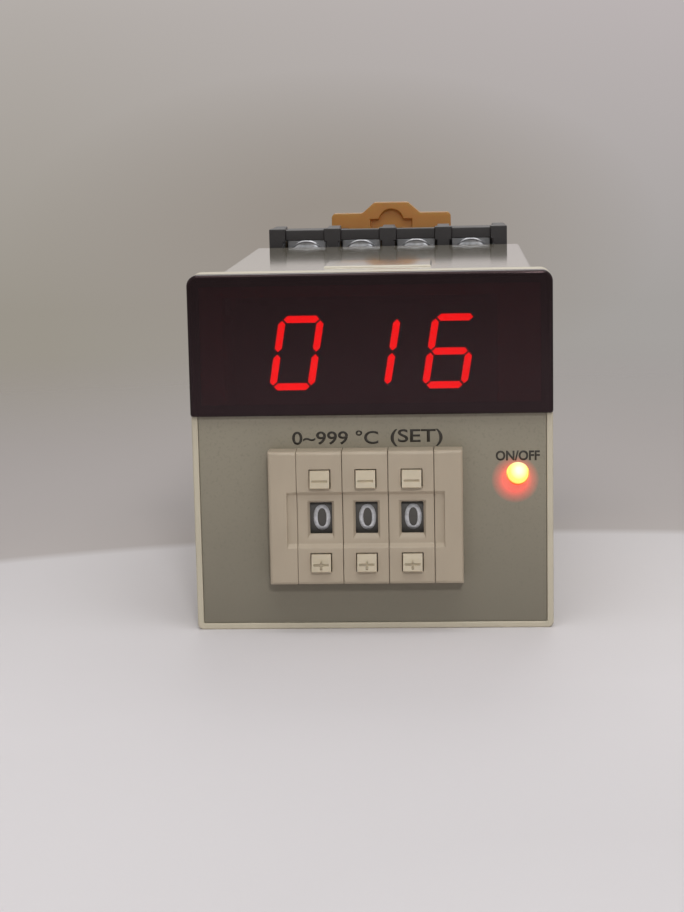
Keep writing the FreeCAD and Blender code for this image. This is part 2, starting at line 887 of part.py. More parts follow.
def switch_module(number):
    part = body(f"switch_module_{number + 1}", (f"module_left + {number} * module_pitch", "0", "0"))
    top = "switch_top - switch_neck"
    bottom = "switch_bottom + switch_neck"
    wide = "module_width"
    block(part, "head", ("0", "switch_front", "switch_bottom"), (wide, "plate_front", "switch_top"))
    block(part, "box", ("0", "plate_front - weld", bottom), (wide, "switch_rear", top))
    soften(part, "Fillet", "front_edges", "switch_edge", runs("x", y=["switch_front"]))
    wall = "module_wall"
    cavity = corners(
        ("switch_front + front_wall", f"{bottom} + {wall}"),
        (f"switch_rear - {wall}", f"{top} - {wall}"),
    )
    shape(part, "Pocket", "cavity", "x", [cavity], wall, wide)
    shape(part, "Pocket", "band", "x", [band_outline()], "0", wide)
    sight_low = ("sight_left", "switch_front", "sight_bottom")
    sight_high = ("sight_left + sight_width", "switch_front + front_wall", "sight_top")
    block(part, "sight", sight_low, sight_high, "Pocket")
    floor = "switch_front + band_depth"
    right = "sight_left + sight_width"
    wide_outline = corners(
        ("sight_left - sight_bevel", "sight_bottom - sight_sill"),
        (f"{right} + sight_bevel", "sight_top + sight_brow"),
    )
    funnel_mouth = sketch(part, "sight_mouth", "y", floor)
    polygon(funnel_mouth, wide_outline)
    funnel_end = sketch(part, "sight_end", "y", f"{floor} + sight_depth")
    polygon(funnel_end, corners(("sight_left", "sight_bottom"), (right, "sight_top")))
    funnel = part.newObject("PartDesign::SubtractiveLoft", "sight_funnel")
    funnel.Profile = funnel_mouth
    funnel.Sections = [funnel_end]
    funnel.Ruled = True
    for name in ("upper", "lower"):
        low = ("key_left", "switch_front", f"{name}_key_z - key_opening_height / 2")
        high = (
            "key_left + key_opening_width",
            "switch_front + front_wall",
            f"{name}_key_z + key_opening_height / 2",
        )
        block(part, f"{name}_key_opening", low, high, "Pocket")
    notch_low = ("code_left - code_play", f"switch_rear - {wall}", "code_bottom - code_play")
    notch_high = (wide, "switch_rear", "code_top + code_play")
    block(part, "code_board_notch", notch_low, notch_high, "Pocket")
    centre = [("wheel_y", "wheel_z")]
    round_shape(part, "Pad", "stub", "x", centre, "stub_radius", f"{wall} - weld", "stub_end")
    holes = [("rod_y", "upper_rod_z"), ("rod_y", "lower_rod_z")]
    round_shape(part, "Pocket", "rod_holes", "x", holes, "rod_radius + rod_play", "0", wall)


def digit_wheel(number):
    place = (f"module_left + {number} * module_pitch", "wheel_y", "wheel_z")
    part = body(f"digit_wheel_{number + 1}", place)
    bore = "stub_radius + wheel_play"
    rim_inner = "wheel_radius - wheel_rim"
    web = "wheel_left + wheel_web"
    section = sketch(part, "section", "z", "0")
    polygon(
        section,
        [
            ("ratchet_left", bore),
            ("wheel_right", bore),
            ("wheel_right", "hub_radius"),
            (web, "hub_radius"),
            (web, rim_inner),
            ("wheel_right", rim_inner),
            ("wheel_right", "wheel_radius"),
            ("wheel_left", "wheel_radius"),
            ("wheel_left", "ratchet_radius"),
            ("ratchet_left", "ratchet_radius"),
        ],
    )
    drum = part.newObject("PartDesign::Revolution", "drum")
    drum.Profile = section
    drum.ReferenceAxis = (section, ["H_Axis"])
    drum.Angle = 360
    section.Visibility = False
    inner = "ratchet_radius - ratchet_notch"
    beyond = "ratchet_radius + ratchet_notch"
    tooth = [("0", inner), ("ratchet_rake", beyond), ("0", beyond)]
    notch = shape(part, "Pocket", "notch", "x", [tooth], "ratchet_left", "wheel_left")
    ring = part.newObject("PartDesign::PolarPattern", "notches")
    ring.Originals = [notch]
    ring.Axis = (role(part, "X_Axis"), [""])
    ring.Angle = 360
    ring.Occurrences = 10
    part.Tip = ring


def wheel_contacts(number):
    place = (f"module_left + {number} * module_pitch", "wheel_y", "wheel_z")
    part = body(f"wheel_contacts_{number + 1}", place)
    drawing = sketch(part, "disc", "x", "wheel_right")
    circle(drawing, ("0", "0"), "contact_radius")
    circle(drawing, ("0", "0"), "stub_radius + wheel_play")
    feature(part, "Pad", "disc", drawing, "x", "wheel_right", "wheel_right + contact_thickness")
    slot = corners(("-contact_slot / 2", "contact_hub"), ("contact_slot / 2", "contact_radius + past"))
    end = "wheel_right + contact_thickness"
    first = shape(part, "Pocket", "slot", "x", [slot], "wheel_right", end)
    ring = part.newObject("PartDesign::PolarPattern", "slots")
    ring.Originals = [first]
    ring.Axis = (role(part, "X_Axis"), [""])
    ring.Angle = 360
    ring.Occurrences = 5
    part.Tip = ring


def push_key(number, kind):
    """Build one key: a wedge-shaped head, a stop behind the wall, and an arm with pawl and spring seat."""
    level = {"minus": "upper_key_z", "plus": "lower_key_z"}[kind]
    part = body(f"{kind}_key_{number + 1}", (f"module_left + {number} * module_pitch", "0", level))
    half = "(key_opening_height / 2 - key_play)"
    left = "key_left + key_play"
    right = "key_left + key_opening_width - key_play"
    profile = [
        ("key_rear", f"-{half}"),
        ("key_lip", f"-{half}"),
        ("key_ridge", f"{half} - key_ridge_drop"),
        ("key_brow", half),
        ("key_rear", half),
    ]
    shape(part, "Pad", "head", "x", [profile], left, right)
    soften(part, "Fillet", "lip", "key_lip_radius", runs("x", y=["key_lip"]))
    lift = {"minus": "upper_lift", "plus": "lower_lift"}[kind]
    stop_low = ("stop_left", "stop_front", f"{lift} - stop_half")
    stop_high = (right, "stop_front + stop_thickness", f"{lift} + stop_half")
    block(part, "stop", stop_low, stop_high)
    neck_low = (left, "key_rear - weld", f"{lift} - neck_half")
    block(part, "neck", neck_low, (right, "stop_front + weld", f"{lift} + neck_half"))
    arm_right = "arm_plate_left + arm_plate_width"
    arm_low = ("arm_plate_left", "stop_front", f"{lift} - arm_plate_half")
    arm_high = (arm_right, "arm_plate_end", f"{lift} + arm_plate_half")
    block(part, "arm", arm_low, arm_high)
    seat_low = ("arm_plate_left", "arm_plate_end - seat_length", f"{lift} - arm_plate_half")
    seat_high = ("arm_plate_left + seat_width", "arm_plate_end", f"{lift} + arm_plate_half")
    block(part, "spring_seat", seat_low, seat_high)
    tip = "ratchet_radius + pawl_clearance"
    edge = {"minus": f"wheel_z + {tip} - {level}", "plus": f"wheel_z - ({tip}) - {level}"}[kind]
    root = {"minus": f"{lift} - arm_plate_half + weld", "plus": f"{lift} + arm_plate_half - weld"}[kind]
    pawl = span(edge, root)
    pawl_low = ("arm_plate_left", "pawl_start", pawl[0])
    pawl_high = (arm_right, "pawl_start + pawl_length", pawl[1])
    block(part, "pawl", pawl_low, pawl_high)
    middle = "key_left + key_opening_width / 2"
    deep = "(key_lip + key_ridge) / 2 + mark_depth"
    spans = [("mark_width / 2", "mark_height / 2")]
    if kind == "plus":
        spans.append(("mark_height / 2", "plus_height / 2"))
    for index, (across, up) in enumerate(spans):
        low = (f"{middle} - {across}", "key_lip - past", f"-mark_drop - {up}")
        high = (f"{middle} + {across}", deep, f"{up} - mark_drop")
        block(part, f"mark_{index}", low, high, "Pocket")


def key_springs():
    springs = []
    for number in MODULES:
        middle = f"module_left + {number} * module_pitch + arm_plate_left + seat_width / 2"
        for kind, level in (("minus", "upper_key_z + upper_lift"), ("plus", "lower_key_z + lower_lift")):
            start = "arm_plate_end + spring_play"
            end = "switch_rear - module_wall - spring_play"
            centre = (middle, level)
            name = f"{kind}_spring_{number + 1}"
            springs.append(
                coil(name, "y", centre, "spring_radius", "spring_wire", "spring_pitch", start, end)
            )
    keep("key_springs", gather("springs", springs))


def code_board(number):
    left = f"module_left + {number} * module_pitch + code_left"
    low = (left, "code_front", "code_bottom")
    high = (f"{left} + code_thickness", "code_rear", "code_top")
    name = f"code_board_{number + 1}"
    keep(name, box(name, low, high))


def switch_rods():
    start = "module_left - end_plate + rod_end"
    end = "module_left + 3 * module_pitch + end_plate - rod_end"
    rods = []
    for level in ("upper", "lower"):
        centre = ("rod_y", f"{level}_rod_z")
        rods.append(rod(f"{level}_rod", "x", centre, "rod_radius", start, end))
    keep("switch_rods", gather("rods", rods))


# housing and what it holds


def case():
    half = "case_size / 2"
    inner = f"({half} - case_wall)"
    part = body("case")
    outer = corners((f"-{half}", f"-{half}"), (half, half))
    shape(part, "Pad", "shell", "y", [outer], "0", "case_length")
    long_edges = runs("y", x=[half, f"-{half}"])
    rear_edges = either(
        runs("x", y=["case_length"]),
        runs("z", y=["case_length"]),
    )
    soften(part, "Fillet", "edges", "case_corner", either(long_edges, rear_edges))
    hollow = corners((f"-{inner}", f"-{inner}"), (inner, inner))
    shape(part, "Pocket", "hollow", "y", [hollow], "0", "case_length - case_wall")
    opening = "plug_radius + plug_play"
    rear_wall = "case_length - case_wall"
    round_shape(part, "Pocket", "plug_opening", "y", [("0", "0")], opening, rear_wall, "case_length")
    place = "base_screw_place"
    spots = [(f"{across}{place}", f"{up}{place}") for across in ("", "-") for up in ("", "-")]
    round_shape(part, "Pocket", "screw_holes", "y", spots, "base_screw_hole", rear_wall, "case_length")
    for name, side in (("left", -1), ("right", 1)):
        for level, height in (("lower", -1), ("upper", 1)):
            across = span(f"{side} * ({inner} - weld)", f"{side} * ({half} + past)")
            middle = f"{height} * arm_height"
            low = (across[0], "hook_start - hook_play", f"{middle} - arm_width / 2 - hook_play")
            end = "hook_start + hook_length + hook_play"
            high = (across[1], end, f"{middle} + arm_width / 2 + hook_play")
            block(part, f"{name}_{level}_slot", low, high, "Pocket")
    guides = []
    for side in (-1, 1):
        outer_face = "long_board_outer + guide_play"
        inner_face = "long_board_outer - board_thickness - guide_play"
        for start, end in ((outer_face, inner), (f"{inner_face} - guide_thickness", inner_face)):
            across = span(f"{side} * ({start})", f"{side} * ({end})")
            guides.append(corners((across[0], "guide_level"), (across[1], f"{inner} + weld")))
            guides.append(corners((across[0], f"-{inner} - weld"), (across[1], "-guide_level")))
    shape(part, "Pad", "board_guides", "y", guides, "guide_start", f"{rear_wall} + weld")
    pad_low = ("-pad_width / 2", "pad_start", f"{half} - weld")
    pad_high = ("pad_width / 2", "pad_start + pad_length", f"{half} + pad_height")
    block(part, "grip_pad", pad_low, pad_high)


def pin_places():
    """Return the eight pin centres on their circle."""
    angles = [22.5 + 45 * index for index in range(8)]
    return [(f"pin_circle * cos({angle} deg)", f"pin_circle * sin({angle} deg)") for angle in angles]


def plug():
    pins = []
    for index, centre in enumerate(pin_places()):
        shoulder = "pin_end - pin_tip"
        shank = rod(f"pin_shank_{index}", "y", centre, "pin_radius", "pin_start", shoulder)
        tip = cone(f"pin_tip_{index}", "y", centre, "pin_radius", "pin_radius / 2", shoulder, "pin_end")
        pins.append(fuse(f"pin_{index}", [shank, tip]))
    keep("plug_pins", gather("pins", pins))
    part = body("plug_base")
    flange_front = "case_length - case_wall - flange_thickness"
    flange = corners(("-flange_half", "-flange_half"), ("flange_half", "flange_half"))
    shape(part, "Pad", "flange", "y", [flange], flange_front, "case_length - case_wall")
    round_shape(part, "Pad", "disc", "y", [("0", "0")], "plug_radius", flange_front, "plug_face")
    round_shape(part, "Pad", "post", "y", [("0", "0")], "post_radius", "plug_face - weld", "post_end")
    rib_low = ("-post_rib / 2", "plug_face - weld", "-post_rib_reach")
    block(part, "rib", rib_low, ("post_rib / 2", "post_end", "0"))
    round_shape(part, "Pocket", "pin_holes", "y", pin_places(), "pin_radius", flange_front, "plug_face")
    place = "base_screw_place"
    spots = [(f"{across}{place}", f"{up}{place}") for across in ("", "-") for up in ("", "-")]
    rear = "case_length - case_wall"
    round_shape(part, "Pocket", "screw_holes", "y", spots, "base_screw_core", flange_front, rear)


def pin_leads():
    """Build the wire from each pin's inner end, round a bend, to the nearer board."""
    wires = []
    bend_y = "pin_start - lead_straight"
    run_y = f"{bend_y} - lead_bend"
    for index, (across, up) in enumerate(pin_places()):
        side = 1 if value(across) > 0 else -1
        straight = rod(f"lead_straight_{index}", "y", (across, up), "lead_radius", bend_y, "pin_start")
        corner = doc.addObject("Part::Torus", f"lead_bend_{index}")
        bind(corner, Radius1="lead_bend", Radius2="lead_radius")
        corner.Angle3 = 90
        corner.Placement = Placement(Vector(), Rotation(Vector(0, 0, 1), -90 if side < 0 else 180))
        middle = f"{across} + {side} * lead_bend"
        put(corner, (middle, bend_y, up))
        face = f"{side} * (long_board_outer - board_thickness)"
        ends = span(middle, face)
        run = rod(f"lead_run_{index}", "x", (run_y, up), "lead_radius", *ends)
        wires.append(fuse(f"pin_lead_{index}", [straight, corner, run]))
    keep("pin_leads", gather("lead_set", wires))


def base_screws():
    screws = []
    for across in ("", "-"):
        for up in ("", "-"):
            centre = (f"{across}base_screw_place", f"{up}base_screw_place")
            name = f"base_screw{across}{up}".replace("-", "_low")
            head_end = "case_length + base_screw_head_height"
            head = rod(f"{name}_head", "y", centre, "base_screw_head", "case_length", head_end)
            shank = rod(f"{name}_shank", "y", centre, "base_screw_radius", "base_screw_end", "case_length")
            half = "small_slot / 2"
            foot, top = f"{centre[1]} - base_screw_head", f"{centre[1]} + base_screw_head"
            low = (f"{centre[0]} - {half}", f"{head_end} - small_slot_depth", foot)
            high = (f"{centre[0]} + {half}", f"{head_end} + weld", top)
            blank = fuse(f"{name}_blank", [head, shank])
            screws.append(cut(name, blank, [box(f"{name}_slot", low, high)]))
    keep("base_screws", gather("screws", screws))


def long_boards():
    for name, side in (("power_board", -1), ("logic_board", 1)):
        across = span(f"{side} * long_board_outer", f"{side} * (long_board_outer - board_thickness)")
        low = (across[0], "long_board_start", "-long_board_half")
        high = (across[1], "long_board_end", "long_board_half")
        keep(name, box(name, low, high))


def board_connectors():
    front = "display_front + display_depth + board_thickness"
    blocks = []
    for side in (-1, 1):
        outer = f"{side} * (long_board_outer - board_thickness)"
        inner = f"{outer} - {side} * header_depth"
        across = span(outer, inner)
        low = (across[0], front, "header_low")
        high = (across[1], f"{front} + header_length", "header_high")
        blocks.append(box(f"header_{side + 1}", low, high))
    keep("board_connectors", gather("headers", blocks))


def around(centre, halves):
    """Return the low and high corners of a box about a centre."""
    low = [f"{middle} - {half}" for middle, half in zip(centre, halves)]
    high = [f"{middle} + {half}" for middle, half in zip(centre, halves)]
    return low, high


def transformer():
    centre = ("coil_x", "coil_y", "coil_z")
    window_half = "(core_half_height - yoke)"
    core = box("core_block", *around(centre, ("stack_half", "core_half_length", "core_half_height")))
    holes = []
    for side in (-1, 1):
        inner = f"coil_y + {side} * limb_half"
        outer = f"coil_y + {side} * (core_half_length - leg)"
        across = span(inner, outer)
        low = ("coil_x - stack_half - past", across[0], f"coil_z - {window_half}")
        high = ("coil_x + stack_half + past", across[1], f"coil_z + {window_half}")
        holes.append(box(f"core_window_{side + 1}", low, high))
    keep("transformer_core", cut("core", core, holes))
    limb = around(centre, ("stack_half", "limb_half", "core_half_height"))
    tube_halves = ("(stack_half + bobbin_wall)", "(limb_half + bobbin_wall)")
    winding_half = f"({window_half} - bobbin_wall)"
    tube = box("bobbin_tube", *around(centre, (*tube_halves, window_half)))
    flanges = []
    for side in (-1, 1):
        ends = span(f"coil_z + {side} * {winding_half}", f"coil_z + {side} * {window_half}")
        low = ("coil_x - flange_half_width", "coil_y - flange_build", ends[0])
        high = ("coil_x + flange_half_width", "coil_y + flange_build", ends[1])
        flanges.append(box(f"bobbin_flange_{side + 1}", low, high))
    spool = fuse("spool", [tube, *flanges])
    keep("transformer_bobbin", cut("bobbin", spool, [box("limb_space", *limb)]))
    turns = box("turns", *around(centre, ("winding_half_width", "winding_build", winding_half)))
    space = box("tube_space", *around(centre, (*tube_halves, window_half)))
    keep("transformer_winding", cut("winding", turns, [space]))


def logic_parts():
    face = "long_board_outer - board_thickness"
    part = body("output_relay")
    low = (f"{face} - relay_height", "relay_start", "relay_bottom")
    block(part, "cover", low, (face, "relay_end", "relay_top"))
    cover_edges = runs("y", x=[f"{face} - relay_height"])
    soften(part, "Fillet", "corners", "relay_corner", cover_edges)
    cans = []
    for size in ("large", "middle", "small"):
        centre = (f"{size}_can_y", f"{size}_can_z")
        radius = f"{size}_can_radius"
        can = rod(f"{size}_can", "x", centre, radius, f"{face} - {size}_can_height", face)
        groove = doc.addObject("Part::Torus", f"{size}_can_groove")
        bind(groove, Radius1=f"{radius} + can_groove / 2", Radius2="can_groove")
        groove.Placement = Placement(Vector(), TURNS["x"])
        put(groove, (f"{face} - can_groove_height", *centre))
        cans.append(cut(f"{size}_capacitor", can, [groove]))
    keep("capacitors", gather("cans", cans))
    chips = []
    for size, pairs in (("large", 10), ("small", 4)):
        start, end = f"{size}_chip_start", f"{size}_chip_end"
        bottom, top = f"{size}_chip_bottom", f"{size}_chip_top"
        lifted = f"{face} - chip_lift"
        chips.append(box(f"{size}_chip", (f"{face} - chip_height", start, bottom), (lifted, end, top)))
        for index in range(pairs):
            middle = f"{start} + ({end} - {start}) * {(index + 0.5) / pairs}"
            for edge in (f"{bottom} - chip_leg", top):
                leg_low = (f"{face} - chip_height / 2", f"{middle} - chip_leg", edge)
                leg_high = (face, f"{middle} + chip_leg", f"{edge} + chip_leg")
                chips.append(box(f"{size}_leg", leg_low, leg_high))
    keep("ic_packages", gather("packages", chips))


# rail socket


def bay_places():
    """Return the centres across of a row's four terminal bays."""
    return [f"{step} * bay_pitch" for step in (-1.5, -0.5, 0.5, 1.5)]


def socket_body():
    wide = "socket_half_width"
    tall = "socket_half_height"
    part = body("socket_body")
    outer = corners((f"-{wide}", f"-{tall}"), (wide, tall))
    shape(part, "Pad", "moulding", "y", [outer], "socket_front", "socket_split")
    # the walls between the terminals stand over the moulding's upper and lower sides
    fins = []
    for sign in (1, -1):
        ends = span(f"{sign} * ({tall} - weld)", f"{sign} * cap_top")
        fins.append(corners((f"-{wide}", ends[0]), (wide, ends[1])))
    shape(part, "Pad", "fins", "y", fins, "socket_front", "bay_floor")
    levels = [tall, f"-{tall}", "cap_top", "-cap_top"]
    soften(part, "Fillet", "corners", "socket_corner", runs("y", x=[wide, f"-{wide}"], z=levels))
    upper = []
    lower = []
    for middle in bay_places():
        left = f"{middle} - bay_width / 2"
        right = f"{middle} + bay_width / 2"
        upper.append(corners((left, "bay_bottom"), (right, "cap_top + past")))
        lower.append(corners((left, "-cap_top - past"), (right, "-bay_bottom")))
    shape(part, "Pocket", "bays", "y", upper + lower, "socket_front", "bay_floor")
    for sign, level in ((1, "upper"), (-1, "lower")):
        ends = span(f"{sign} * bridge_bottom", f"{sign} * bridge_top")
        low = (f"-{wide}", "bridge_front", ends[0])
        high = (wide, "bridge_front + bridge_depth", ends[1])
        block(part, f"{level}_bridge", low, high)
        caps = []
        for step in (-2, -1, 0, 1, 2):
            left = f"max({step} * bay_pitch - cap_width / 2; -{wide})"
            right = f"min({step} * bay_pitch + cap_width / 2; {wide})"
            ends = span(f"{sign} * cap_bottom", f"{sign} * cap_top")
            caps.append(corners((left, ends[0]), (right, ends[1])))
        shape(part, "Pad", f"{level}_caps", "y", caps, "socket_front", "socket_front + cap_depth")
    pins = pin_places()
    chamber_end = "chamber_front + past"
    round_shape(part, "Pocket", "pin_holes", "y", pins, "pin_hole", "socket_front", chamber_end)
    round_shape(part, "Pocket", "chambers", "y", pins, "chamber_radius", "chamber_front", "socket_split")
    key_end = "hollow_front + past"
    round_shape(part, "Pocket", "key_hole", "y", [("0", "0")], "key_hole", "socket_front", key_end)
    slot_low = ("-key_slot", "socket_front", "-key_slot_reach")
    block(part, "key_slot", slot_low, ("key_slot", key_end, "0"), "Pocket")
    hollow = corners(
        ("-hollow_half_width", "-hollow_half_height"), ("hollow_half_width", "hollow_half_height")
    )
    shape(part, "Pocket", "rear_hollow", "y", [hollow], "hollow_front", "socket_split")
    bosses = [("-mount_hole_x", "0"), ("mount_hole_x", "0")]
    boss_start = "hollow_front - past"
    round_shape(part, "Pad", "bosses", "y", bosses, "mount_boss", boss_start, "socket_split")
    round_shape(part, "Pocket", "mount_holes", "y", bosses, "mount_hole", "socket_front", "socket_split")
    screws = [(middle, f"{sign} * terminal_z") for middle in bay_places() for sign in (1, -1)]
    hole = "screw_core + screw_play"
    floor_start, floor_end = "bay_floor - past", "hollow_front + past"
    round_shape(part, "Pocket", "screw_holes", "y", screws, hole, floor_start, floor_end)
    slots = []
    for middle in bay_places():
        for sign in (1, -1):
            inner = f"{sign} * (riser_bottom - riser_play)"
            outer_edge = f"{sign} * (riser_bottom + strap_thickness + riser_play)"
            ends = span(inner, outer_edge)
            left = f"{middle} - strap_half - riser_play"
            right = f"{middle} + strap_half + riser_play"
            slots.append(corners((left, ends[0]), (right, ends[1])))
    shape(part, "Pocket", "riser_slots", "y", slots, floor_start, floor_end)
    cover = cover_screw_places()
    round_shape(part, "Pad", "cover_bosses", "y", cover, "cover_screw_boss", boss_start, "socket_split")
    hole = "cover_screw_radius + cover_screw_play"
    hole_start = "cover_screw_end - cover_screw_play"
    round_shape(part, "Pocket", "cover_screw_holes", "y", cover, hole, hole_start, "socket_split")


def cover_screw_places():
    """Return the centres of the screws that join the socket's two mouldings."""
    return [(f"{across}cover_screw_x", f"{up}cover_screw_z") for across in ("", "-") for up in ("", "-")]


def socket_base():
    wide = "socket_half_width"
    tall = "socket_half_height"
    part = body("socket_base")
    outer = corners((f"-{wide}", f"-{tall}"), (wide, tall))
    shape(part, "Pad", "moulding", "y", [outer], "socket_split", "socket_rear")
    soften(part, "Fillet", "corners", "socket_corner", runs("y", x=[wide, f"-{wide}"]))
    rail_low = (f"-{wide} - past", "rail_floor", "-rail_half")
    block(part, "rail_slot", rail_low, (f"{wide} + past", "socket_rear", "rail_half"), "Pocket")
    grip_low = (f"-{wide}", "grip_front", "-rail_half - weld")
    grip_high = (wide, "grip_front + grip_thickness", "grip_reach - rail_half")
    block(part, "fixed_grip", grip_low, grip_high)
    channel_low = ("-channel_half", "channel_floor", "channel_bottom")
    channel_high = ("channel_half", "rail_floor", f"{tall} + past")
    block(part, "channel", channel_low, channel_high, "Pocket")
    gate_low = ("-channel_half", "rail_floor - weld", "rail_half - weld")
    gate_high = ("channel_half", "grip_front + grip_thickness + clip_play", f"{tall} + past")
    block(part, "hook_way", gate_low, gate_high, "Pocket")
    peg_low = ("-peg_half", "channel_floor - weld", "peg_low")
    block(part, "spring_peg", peg_low, ("peg_half", "tongue_rear", "peg_low + peg_height"))
    holes = [("-mount_hole_x", "0"), ("mount_hole_x", "0")]
    round_shape(part, "Pocket", "mount_holes", "y", holes, "mount_hole", "socket_split", "rail_floor")
    cover = cover_screw_places()
    hole = "cover_screw_radius + cover_screw_play"
    round_shape(part, "Pocket", "cover_screw_holes", "y", cover, hole, "socket_split", "rail_floor")
    head_start = "rail_floor - cover_screw_head_height - cover_screw_sink"
    head = "cover_screw_head + cover_screw_play"
    round_shape(part, "Pocket", "cover_screw_heads", "y", cover, head, head_start, "rail_floor")


def cover_screws():
    screws = []
    for index, centre in enumerate(cover_screw_places()):
        end = "rail_floor - cover_screw_sink"
        seat = f"{end} - cover_screw_head_height"
        head = rod(f"cover_head_{index}", "y", centre, "cover_screw_head", seat, end)
        shank = rod(f"cover_shank_{index}", "y", centre, "cover_screw_radius", "cover_screw_end", seat)
        half = "small_slot / 2"
        low = (f"{centre[0]} - {half}", f"{end} - small_slot_depth", f"{centre[1]} - cover_screw_head")
        high = (f"{centre[0]} + {half}", f"{end} + weld", f"{centre[1]} + cover_screw_head")
        blank = fuse(f"cover_blank_{index}", [head, shank])
        screws.append(cut(f"cover_screw_{index}", blank, [box(f"cover_slot_{index}", low, high)]))
    keep("cover_screws", gather("cover_screw_set", screws))


def socket_contact(name, side, sign, column, angle, level):
    """Build one contact: its sleeve, a bent strap behind the moulding and the plate in its bay."""
    pin_x = f"{side} * pin_circle * cos({angle} deg)"
    centre = (pin_x, f"{sign} * pin_circle * sin({angle} deg)")
    middle = f"{side} * {column}"
    rear = "strap_front + strap_thickness"
    plate_front = "bay_floor - terminal_thickness"
    tube = rod(f"{name}_tube", "y", centre, "sleeve_outer", "sleeve_front", rear)
    across = span(f"{pin_x} + {side} * (sleeve_outer - weld)", f"{middle} + {side} * strap_half")
    levels = span(f"{sign} * ({level} - strap_half)", f"{sign} * ({level} + strap_half)")
    run = box(f"{name}_run", (across[0], "strap_front", levels[0]), (across[1], rear, levels[1]))
    left, right = f"{middle} - strap_half", f"{middle} + strap_half"
    top = f"{sign} * (riser_bottom + strap_thickness)"
    levels = span(f"{sign} * ({level} - strap_half)", top)
    climb = box(f"{name}_climb", (left, "strap_front", levels[0]), (right, rear, levels[1]))
    levels = span(f"{sign} * riser_bottom", top)
    riser = box(f"{name}_riser", (left, plate_front, levels[0]), (right, rear, levels[1]))
    levels = span(f"{sign} * riser_bottom", f"{sign} * terminal_top")
    plate_low = (f"{middle} - terminal_half", plate_front, levels[0])
    plate = box(f"{name}_plate", plate_low, (f"{middle} + terminal_half", "bay_floor", levels[1]))
    bore = rod(f"{name}_bore", "y", centre, "sleeve_inner", "sleeve_front - past", f"{rear} + past")
    screw = (middle, f"{sign} * terminal_z")
    hole = rod(f"{name}_hole", "y", screw, "screw_core + screw_play / 2", plate_front, "bay_floor + weld")
    return cut(name, fuse(f"{name}_blank", [tube, run, climb, riser, plate]), [bore, hole])


def socket_contacts():
    places = {
        "outer": ("1.5 * bay_pitch", 22.5, "outer_strap_z"),
        "inner": ("0.5 * bay_pitch", 67.5, "pin_circle * sin(67.5 deg)"),
    }
    contacts = []
    for place, (column, angle, level) in places.items():
        for side in (-1, 1):
            for sign in (-1, 1):
                name = f"contact_{place}_{side + 1}_{sign + 1}"
                contacts.append(socket_contact(name, side, sign, column, angle, level))
    keep("socket_contacts", gather("contacts", contacts))


def terminals():
    screws = []
    clamps = []
    for index, (middle, sign) in enumerate((middle, sign) for sign in (1, -1) for middle in bay_places()):
        centre = (middle, f"{sign} * terminal_z")
        front = "clamp_front - screw_head_height"
        head = rod(f"terminal_head_{index}", "y", centre, "screw_head", front, "clamp_front")
        shank = rod(f"terminal_shank_{index}", "y", centre, "screw_core", "clamp_front", "screw_end")
        slots = []
        reach, half = "screw_slot_reach", "screw_slot / 2"
        for name, across, up in (("wide", reach, half), ("tall", half, reach)):
            low = (f"{middle} - {across}", f"{front} - weld", f"{centre[1]} - {up}")
            high = (f"{middle} + {across}", f"{front} + screw_slot_depth", f"{centre[1]} + {up}")
            slots.append(box(f"terminal_{name}_slot_{index}", low, high))
        blank = fuse(f"terminal_blank_{index}", [head, shank])
        screws.append(cut(f"terminal_screw_{index}", blank, slots))
        rear = "clamp_front + clamp_thickness"
        low = (f"{middle} - clamp_half", "clamp_front", f"{centre[1]} - clamp_half_height")
        high = (f"{middle} + clamp_half", rear, f"{centre[1]} + clamp_half_height")
        plate = box(f"clamp_plate_{index}", low, high)
        lips = []
        for side in (-1, 1):
            ends = span(f"{middle} + {side} * clamp_half", f"{middle} + {side} * (clamp_half - clamp_lip)")
            lip_high = (ends[1], f"{rear} + clamp_lip", high[2])
            lips.append(box(f"clamp_lip_{index}_{side + 1}", (ends[0], rear, low[2]), lip_high))
        bore = "screw_core + screw_play"
        hole = rod(f"clamp_hole_{index}", "y", centre, bore, "clamp_front - past", f"{rear} + past")
        clamps.append(cut(f"clamp_{index}", fuse(f"clamp_blank_{index}", [plate, *lips]), [hole]))
    keep("terminal_screws", gather("terminal_screw_set", screws))
    keep("clamp_plates", gather("clamp_set", clamps))


